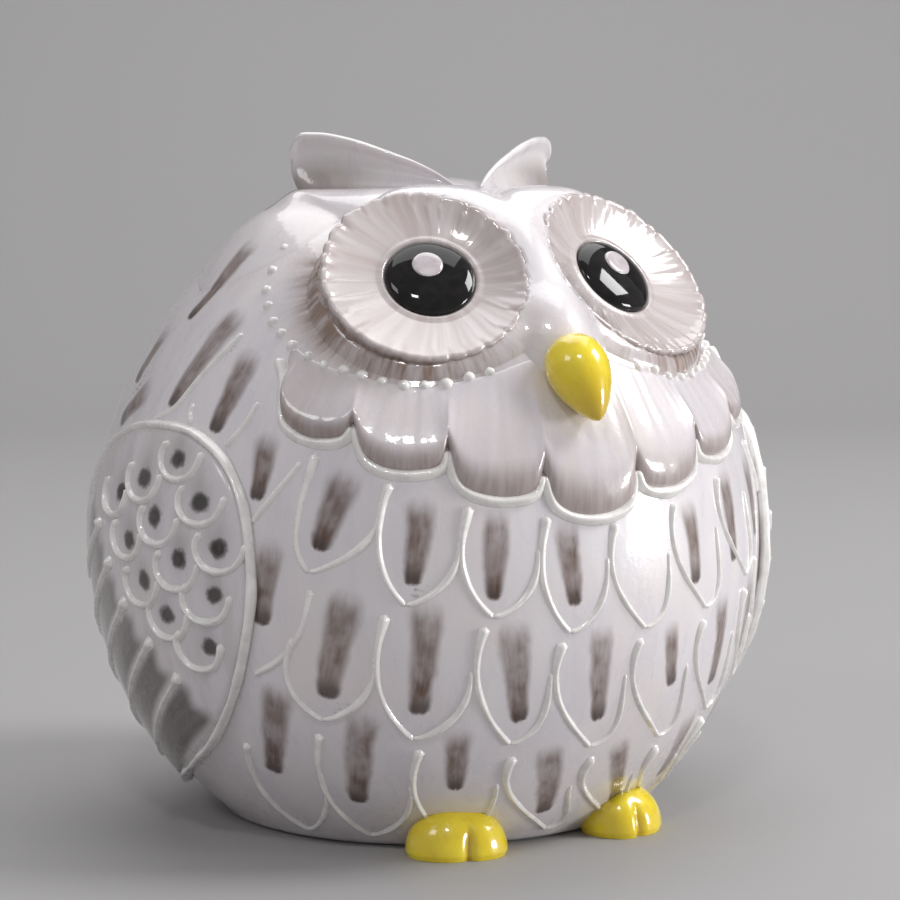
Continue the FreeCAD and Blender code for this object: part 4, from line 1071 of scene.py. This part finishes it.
def make_wing(side, label):
    cols, rows = 300, 64
    outline = smooth(WING_OUTLINE, cols + 1, True)[:-1]
    share = (np.linspace(0.0, 1.0, rows + 1)[1:] ** 0.8)[:, None, None]
    flat = WING_CENTRE + (outline[None] - WING_CENTRE) * share
    depth, height = flat[..., 0], flat[..., 1]
    angle = wing_angle(depth, height)
    away = (1 - share[..., 0]) * np.linalg.norm(outline - WING_CENTRE, axis=1)[None, :]
    lift = WING_RISE * np.sqrt(np.clip(1 - (1 - np.clip((away + 0.02) / 1.3, 0, 1)) ** 2, 0, 1))
    lift = np.where(away < 0.01, -0.6, lift)
    top = skin(-side * angle, height, lift)
    below = skin(-side * angle, height, -1.2 + 0 * lift)
    # Quill panels: dark brush between neighbouring quill lines; scale spots come after as marks.
    panel = np.zeros(angle.shape)
    streak = np.zeros(angle.shape + (3,))
    lines = [np.array([start, end]) for start, end in QUILLS]
    for k in range(-1, len(lines)):
        low = lines[k] if k >= 0 else lines[0] + np.array([[-7.0, -6.5], [-4.0, -5.5]])
        high = lines[k + 1] if k + 1 < len(lines) else lines[-1] + np.array([[5.0, 5.5], [1.0, 9.0]])
        way_low, way_high = low[1] - low[0], high[1] - high[0]
        a = (flat - low[0]) @ np.array([-way_low[1], way_low[0]]) / np.linalg.norm(way_low)
        c = -((flat - high[0]) @ np.array([-way_high[1], way_high[0]]) / np.linalg.norm(way_high))
        middle = 0.5 * (way_low + way_high)
        start = 0.5 * (low[0] + high[0])
        along = (flat - start) @ middle / np.linalg.norm(middle)
        inside = ease((a - 0.2) / 1.5) * ease((c - 0.2) / 1.5)
        reach = ease((along - 0.6 + 0.8 * np.sin(1.3 * a + k)) / 4.5)
        reach = reach * ease((np.linalg.norm(middle) + 6 - along) / 4)
        tone = inside * reach * (0.86 + 0.14 * ease(along / 18))
        panel = np.maximum(panel, tone)
        spread = np.stack([a + 13 * k, along * 0.14, 0 * along], -1)
        streak = np.where((tone > 0.02)[..., None], spread, streak)
    halo = np.zeros(angle.shape)
    marks = np.zeros(angle.shape + (4,))
    best = np.full(angle.shape, 1e9)
    local = np.random.default_rng(81)
    for a, h in SPOTS:
        wide, tall = local.uniform(1.55, 1.95), local.uniform(1.35, 1.75)
        x = (angle - a) * oval_radius(h) * math.pi / 180
        y = height - h
        gap = np.hypot(x, y)
        away_spot = np.hypot(x / wide, y / tall)
        flat_spot = [away_spot, 1.0 + 0 * x, 9.0 + 0 * x, ease((1.9 - away_spot) / 0.4)]
        marks = np.where((gap < best)[..., None], np.stack(flat_spot, -1), marks)
        best = np.minimum(best, gap)
        halo = np.maximum(halo, 0.30 * np.exp(-(x / 2.4) ** 2 - ((y - 1.2) / 2.9) ** 2))
    wash = np.maximum(panel, halo)
    streak = np.where((halo > panel)[..., None], np.stack([angle, height * 0.3, 0 * angle], -1), streak)
    paint = np.concatenate([wash[..., None], streak, marks], -1)
    b = Build()
    start = b.grid(top, True, paint)
    middle_angle = float(wing_angle(*WING_CENTRE)) * -side
    b.fan(start, cols, skin(middle_angle, WING_CENTRE[1], WING_RISE), BARE)
    low_start = b.grid(below, True)
    b.fan(low_start, cols, skin(middle_angle, WING_CENTRE[1], -1.2))
    last = start + (rows - 1) * cols + np.arange(cols)
    low_last = low_start + (rows - 1) * cols + np.arange(cols)
    b.band(last, low_last)
    make_piece("wing_%s_panel" % label, b, glaze_wing, ["wing_" + label])

    b = Build()
    marks = []
    for spot in WING_OUTLINE:
        out = np.array(spot) - WING_CENTRE
        spot = np.array(spot) + 0.2 * out / np.linalg.norm(out)
        marks.append((-side * float(wing_angle(*spot)), spot[1]))
    bead(b, marks, 1.45, 1.25, base=0.7, seed=7, closed=True)
    make_slip("wing_border_line_" + label, b)

    b = Build()
    local = np.random.default_rng(90 + side)
    for a, h, count in WING_SCALES:
        for step in range(count):
            x = a - 9.1 * step + local.uniform(-0.3, 0.3)
            y = h - 2.9 * step + local.uniform(-0.3, 0.3)
            marks = [(x - 3.2, y + 6.2), (x - 4.4, y + 4.9), (x - 4.5, y + 3.0), (x - 2.9, y + 0.8), (x, y),
                     (x + 2.9, y + 0.8), (x + 4.5, y + 2.8), (x + 5.2, y + 4.4)]
            bead(b, [(-side * p, q) for p, q in marks], 1.1, 0.8, base=WING_RISE,
                 seed=int(200 + 10 * step + h),
                 swell=lambda s: 1 + 0.2 * np.exp(-(s / 0.08) ** 2) + 0.18 * np.exp(-((1 - s) / 0.08) ** 2))
    make_slip("wing_scale_lines_" + label, b)

    b = Build()
    for number, (start, end) in enumerate(QUILLS):
        marks = [(-side * p, q) for p, q in quill_marks(start, end)]
        bead(b, marks, 1.15, 0.75, base=WING_RISE, seed=400 + number,
             swell=lambda s: 1.0 + 0.75 * np.exp(-((s - 0.02) / 0.045) ** 2) - 0.3 * s)
    make_slip("wing_quill_lines_" + label, b)


# ---------------------------------------------------------------- ear tufts

TUFT_STATIONS = [(-2.4, -16.2, 110.6, 0.22), (-4.6, -14.6, 112.6, 0.42), (-7.6, -12.4, 114.6, 0.6),
                 (-12.4, -8.8, 117.0, 0.8), (-17.6, -5.0, 119.2, 0.95), (-22.2, -1.6, 120.2, 1.0),
                 (-24.8, 0.3, 119.9, 0.9), (-25.6, 0.9, 118.6, 0.7)]


def crown_height(x, y):
    back = y - math.tan(LEAN) * 60.0
    return BELLY + CROWN * np.sqrt(1.0 - (x * x + back * back) / RADIUS ** 2)


def make_tuft(side, label):
    front = np.array([-0.593, -0.805, 0.0])
    stations = smooth(TUFT_STATIONS, 60)
    rings, wash, streak = [], [], []
    for number, (x, y, rim, deep) in enumerate(stations):
        foot = crown_height(x, y)
        tall = rim - foot
        wide = deep * 11.5
        lip = max(0.07 * tall, min(0.34 * tall, 110.6 - foot))
        face = tall - lip
        profile = [(0.10, -4.2), (0.12, 0.4 * lip), (0.12, lip), (0.05, lip + 0.2 * face),
                   (-0.05, lip + 0.5 * face), (-0.03, lip + 0.72 * face), (0.055, lip + 0.86 * face),
                   (0.085, lip + 0.96 * face), (0.0, tall + 0.1), (-0.10, 0.95 * tall),
                   (-0.24, 0.66 * tall), (-0.42, 0.3 * tall), (-0.62, -4.2)]
        ring = smooth(profile, 61, True)[:-1]
        points = np.array([x, y, foot]) + front * (ring[:, :1] * wide) + np.array([0, 0, 1.0]) * ring[:, 1:]
        part = number / (len(stations) - 1)
        drawn = 3.6 * ease((part - 0.45) / 0.55) * ease(1.0 - (ring[:, 1] - 0.3 * lip) / (0.9 * face))
        points = points + np.array([0.76, -0.56, 0.0]) * drawn[:, None]
        rings.append(points)
        # Painted shade: the lower front of the scoop is darkened, more strongly towards the tuft's outer end.
        shade = ease((0.80 * tall - ring[:, 1]) / (0.4 * tall)) * (ring[:, 0] > -0.1)
        wash.append(shade * (0.12 + 0.62 * ease((part - 0.3) / 0.6)))
        streak.append(np.column_stack([np.full(60, x * 0.6), ring[:, 1] * 0.3, np.full(60, y * 0.6)]))
    rings = np.array(rings)
    closing = []                            # rounds off the outer end
    last, inner = rings[-1], rings[-1].mean(0)
    outward = np.array([stations[-1][0] - stations[-4][0], stations[-1][1] - stations[-4][1], 0.0])
    outward /= np.linalg.norm(outward)
    for shrink, push in ((0.93, 0.5), (0.78, 0.95), (0.52, 1.25), (0.25, 1.38)):
        closing.append(inner + (last - inner) * shrink + outward * push)
    points = np.concatenate([rings, np.array(closing)], 0)
    wash = np.array(wash + [wash[-1]] * len(closing))
    streak = np.array(streak + [streak[-1]] * len(closing))
    b = Build()
    b.tube(mirror(points, side), wash_paint(points, wash, streak))
    make_piece("ear_tuft_%s_leaf" % label, b, glaze_tuft, ["ear_tuft_" + label])


# ---------------------------------------------------------------- feet

def make_foot(side, label):
    """A low dome with a shallow groove in front that parts it into two toes."""
    turn = math.radians(-21.0 if side < 0 else -23.0)
    middle = np.array([math.sin(turn), -math.cos(turn), 0.0])
    side_way = np.array([-middle[1], middle[0], 0.0])
    centre = 42.2 * middle + np.array([0, 0, 0.2])

    def field(p):
        away = p - centre
        across, ahead, tall = away @ side_way, away @ middle, away[..., 2]
        wide = np.where(across > 0, 8.6 if side < 0 else 6.3, 8.6)
        power = 2.2                         # 2 would be an ellipsoid
        q = sum(np.abs(share) ** power for share in (across / wide, ahead / 6.6, tall / 8.0)) ** (1 / power)
        groove = np.exp(-np.abs((across - 1.5) / 0.8) ** 1.5)
        groove = groove * ease((ahead - 1.5) / 4) * ease((6.6 - tall) / 4.5)
        return q + 0.15 * groove + 0.035 * np.exp(-((across - 1.2) / 2.4) ** 2)

    rows, cols = 60, 120
    tilt = np.linspace(math.pi / 2, -0.12, rows)[1:, None]
    theta = turns(cols)[None, :]
    way = np.stack(np.broadcast_arrays(np.cos(tilt) * np.cos(theta), np.cos(tilt) * np.sin(theta),
                                       np.sin(tilt)), -1)
    near, far = np.zeros(way.shape[:2]), np.full(way.shape[:2], 20.0)
    for _ in range(36):
        mid = 0.5 * (near + far)
        inside = field(centre + way * mid[..., None]) < 1.0
        near, far = np.where(inside, mid, near), np.where(inside, far, mid)
    points = centre + way * near[..., None]
    points[..., 2] = np.maximum(points[..., 2], 0.0)
    shift = np.clip(points[..., 2], 0, 1)
    points[..., :2] = centre[:2] + (points[..., :2] - centre[:2]) * (0.965 + 0.035 * ease(shift))[..., None]
    away = points - centre
    # The groove is painted darker: painted shade in the crease between the toes.
    notch = np.exp(-((away @ side_way - 1.5) / 0.7) ** 2) * ease((away @ middle - 1.5) / 4)
    notch = notch * ease((6.6 - points[..., 2]) / 4.5)
    b = Build()
    b.tube(mirror(points, side), wash_paint(points, 0.6 * notch))
    make_piece("foot_%s_toes" % label, b, glaze_yellow, ["foot_" + label])


make_body()
make_head()
make_ruff()
make_ruff_line()
make_feathers()
make_dots()
make_beak()
for side, label in ((-1, "right"), (1, "left")):
    make_disc(side, label)
    make_wing(side, label)
    make_tuft(side, label)
    make_foot(side, label)


# ---------------------------------------------------------------- floor, light and camera

def plain(name, colour, roughness):
    n = Nodes(name)
    tone = n.noise(n.place(0.004), 1.0, 2.0)
    shade = n.mix(n.span(tone, 0.3, 0.7, 0.0, 0.3), colour, [item * 0.97 for item in colour])
    return n.finish(shade, roughness, coat=0.0)


def make_stage():
    """A pale floor that curves up into a backdrop."""
    profile = [(-1.6, 0.0), (0.2, 0.0), (0.9, 0.0)]
    profile += [(0.9 + 0.6 * math.sin(a), 0.6 - 0.6 * math.cos(a)) for a in np.linspace(0.1, math.pi / 2, 14)]
    profile.append((1.5, 2.2))
    verts = [(x, y, z) for y, z in profile for x in (-2.5, 2.5)]
    faces = [(2 * i, 2 * i + 1, 2 * i + 3, 2 * i + 2) for i in range(len(profile) - 1)]
    mesh = bpy.data.meshes.new("floor")
    mesh.from_pydata(verts, [], faces)
    mesh.polygons.foreach_set("use_smooth", [True] * len(faces))
    mesh.materials.append(plain("floor_paper", (0.36, 0.352, 0.35), 0.6))
    floor = bpy.data.objects.new("floor", mesh)
    floor.rotation_euler = (0, 0, math.radians(-27))
    bpy.context.scene.collection.objects.link(floor)


def soft_box(name, azimuth, elevation, distance, width, height, power, aim=(0, 0, 0.06), colour=(1, 1, 1)):
    a, e = math.radians(azimuth), math.radians(elevation)
    aim = Vector(aim)
    back = Vector((math.sin(a) * math.cos(e), -math.cos(a) * math.cos(e), math.sin(e)))
    data = bpy.data.lights.new(name, "AREA")
    data.shape, data.size, data.size_y, data.energy, data.color = "RECTANGLE", width, height, power, colour
    light = bpy.data.objects.new(name, data)
    light.location = aim + back * distance
    light.rotation_mode = "QUATERNION"
    light.rotation_quaternion = (-back).to_track_quat("-Z", "Y")
    bpy.context.scene.collection.objects.link(light)


def make_lights():
    soft_box("window", 49, -2, 1.1, 0.28, 0.44, 9.5, aim=(0, 0, 0.05))
    soft_box("right_high", 62, 42, 1.3, 0.45, 0.45, 9.5)
    soft_box("overhead", 150, 68, 1.6, 1.5, 1.5, 14.0)
    soft_box("spark", -30, 48, 1.4, 0.16, 0.10, 2.2)
    soft_box("fill_left", -75, 40, 1.8, 0.5, 0.4, 3.0)
    world = bpy.data.worlds.new("studio")
    world.use_nodes = True
    world.node_tree.nodes["Background"].inputs[0].default_value = (0.80, 0.80, 0.83, 1)
    world.node_tree.nodes["Background"].inputs[1].default_value = 0.44
    bpy.context.scene.world = world
    bpy.context.scene.view_settings.view_transform = "Standard"


def make_camera():
    place, target = Vector((-0.1938, -0.3842, 0.09965)), Vector((0.00354, -0.00178, 0.06354))
    data = bpy.data.cameras.new("camera")
    data.lens, data.sensor_width, data.clip_start, data.clip_end = 95.4, 36.0, 0.01, 50.0
    camera = bpy.data.objects.new("camera", data)
    ahead = (target - place).normalized()
    right = ahead.cross(Vector((0, 0, 1))).normalized()
    up = right.cross(ahead)
    roll = math.radians(-0.34)
    right, up = right * math.cos(roll) + up * math.sin(roll), up * math.cos(roll) - right * math.sin(roll)
    matrix = Matrix((right, up, -ahead)).transposed().to_4x4()
    matrix.translation = place
    camera.matrix_world = matrix
    bpy.context.scene.collection.objects.link(camera)
    bpy.context.scene.camera = camera


make_stage()
make_lights()
make_camera()
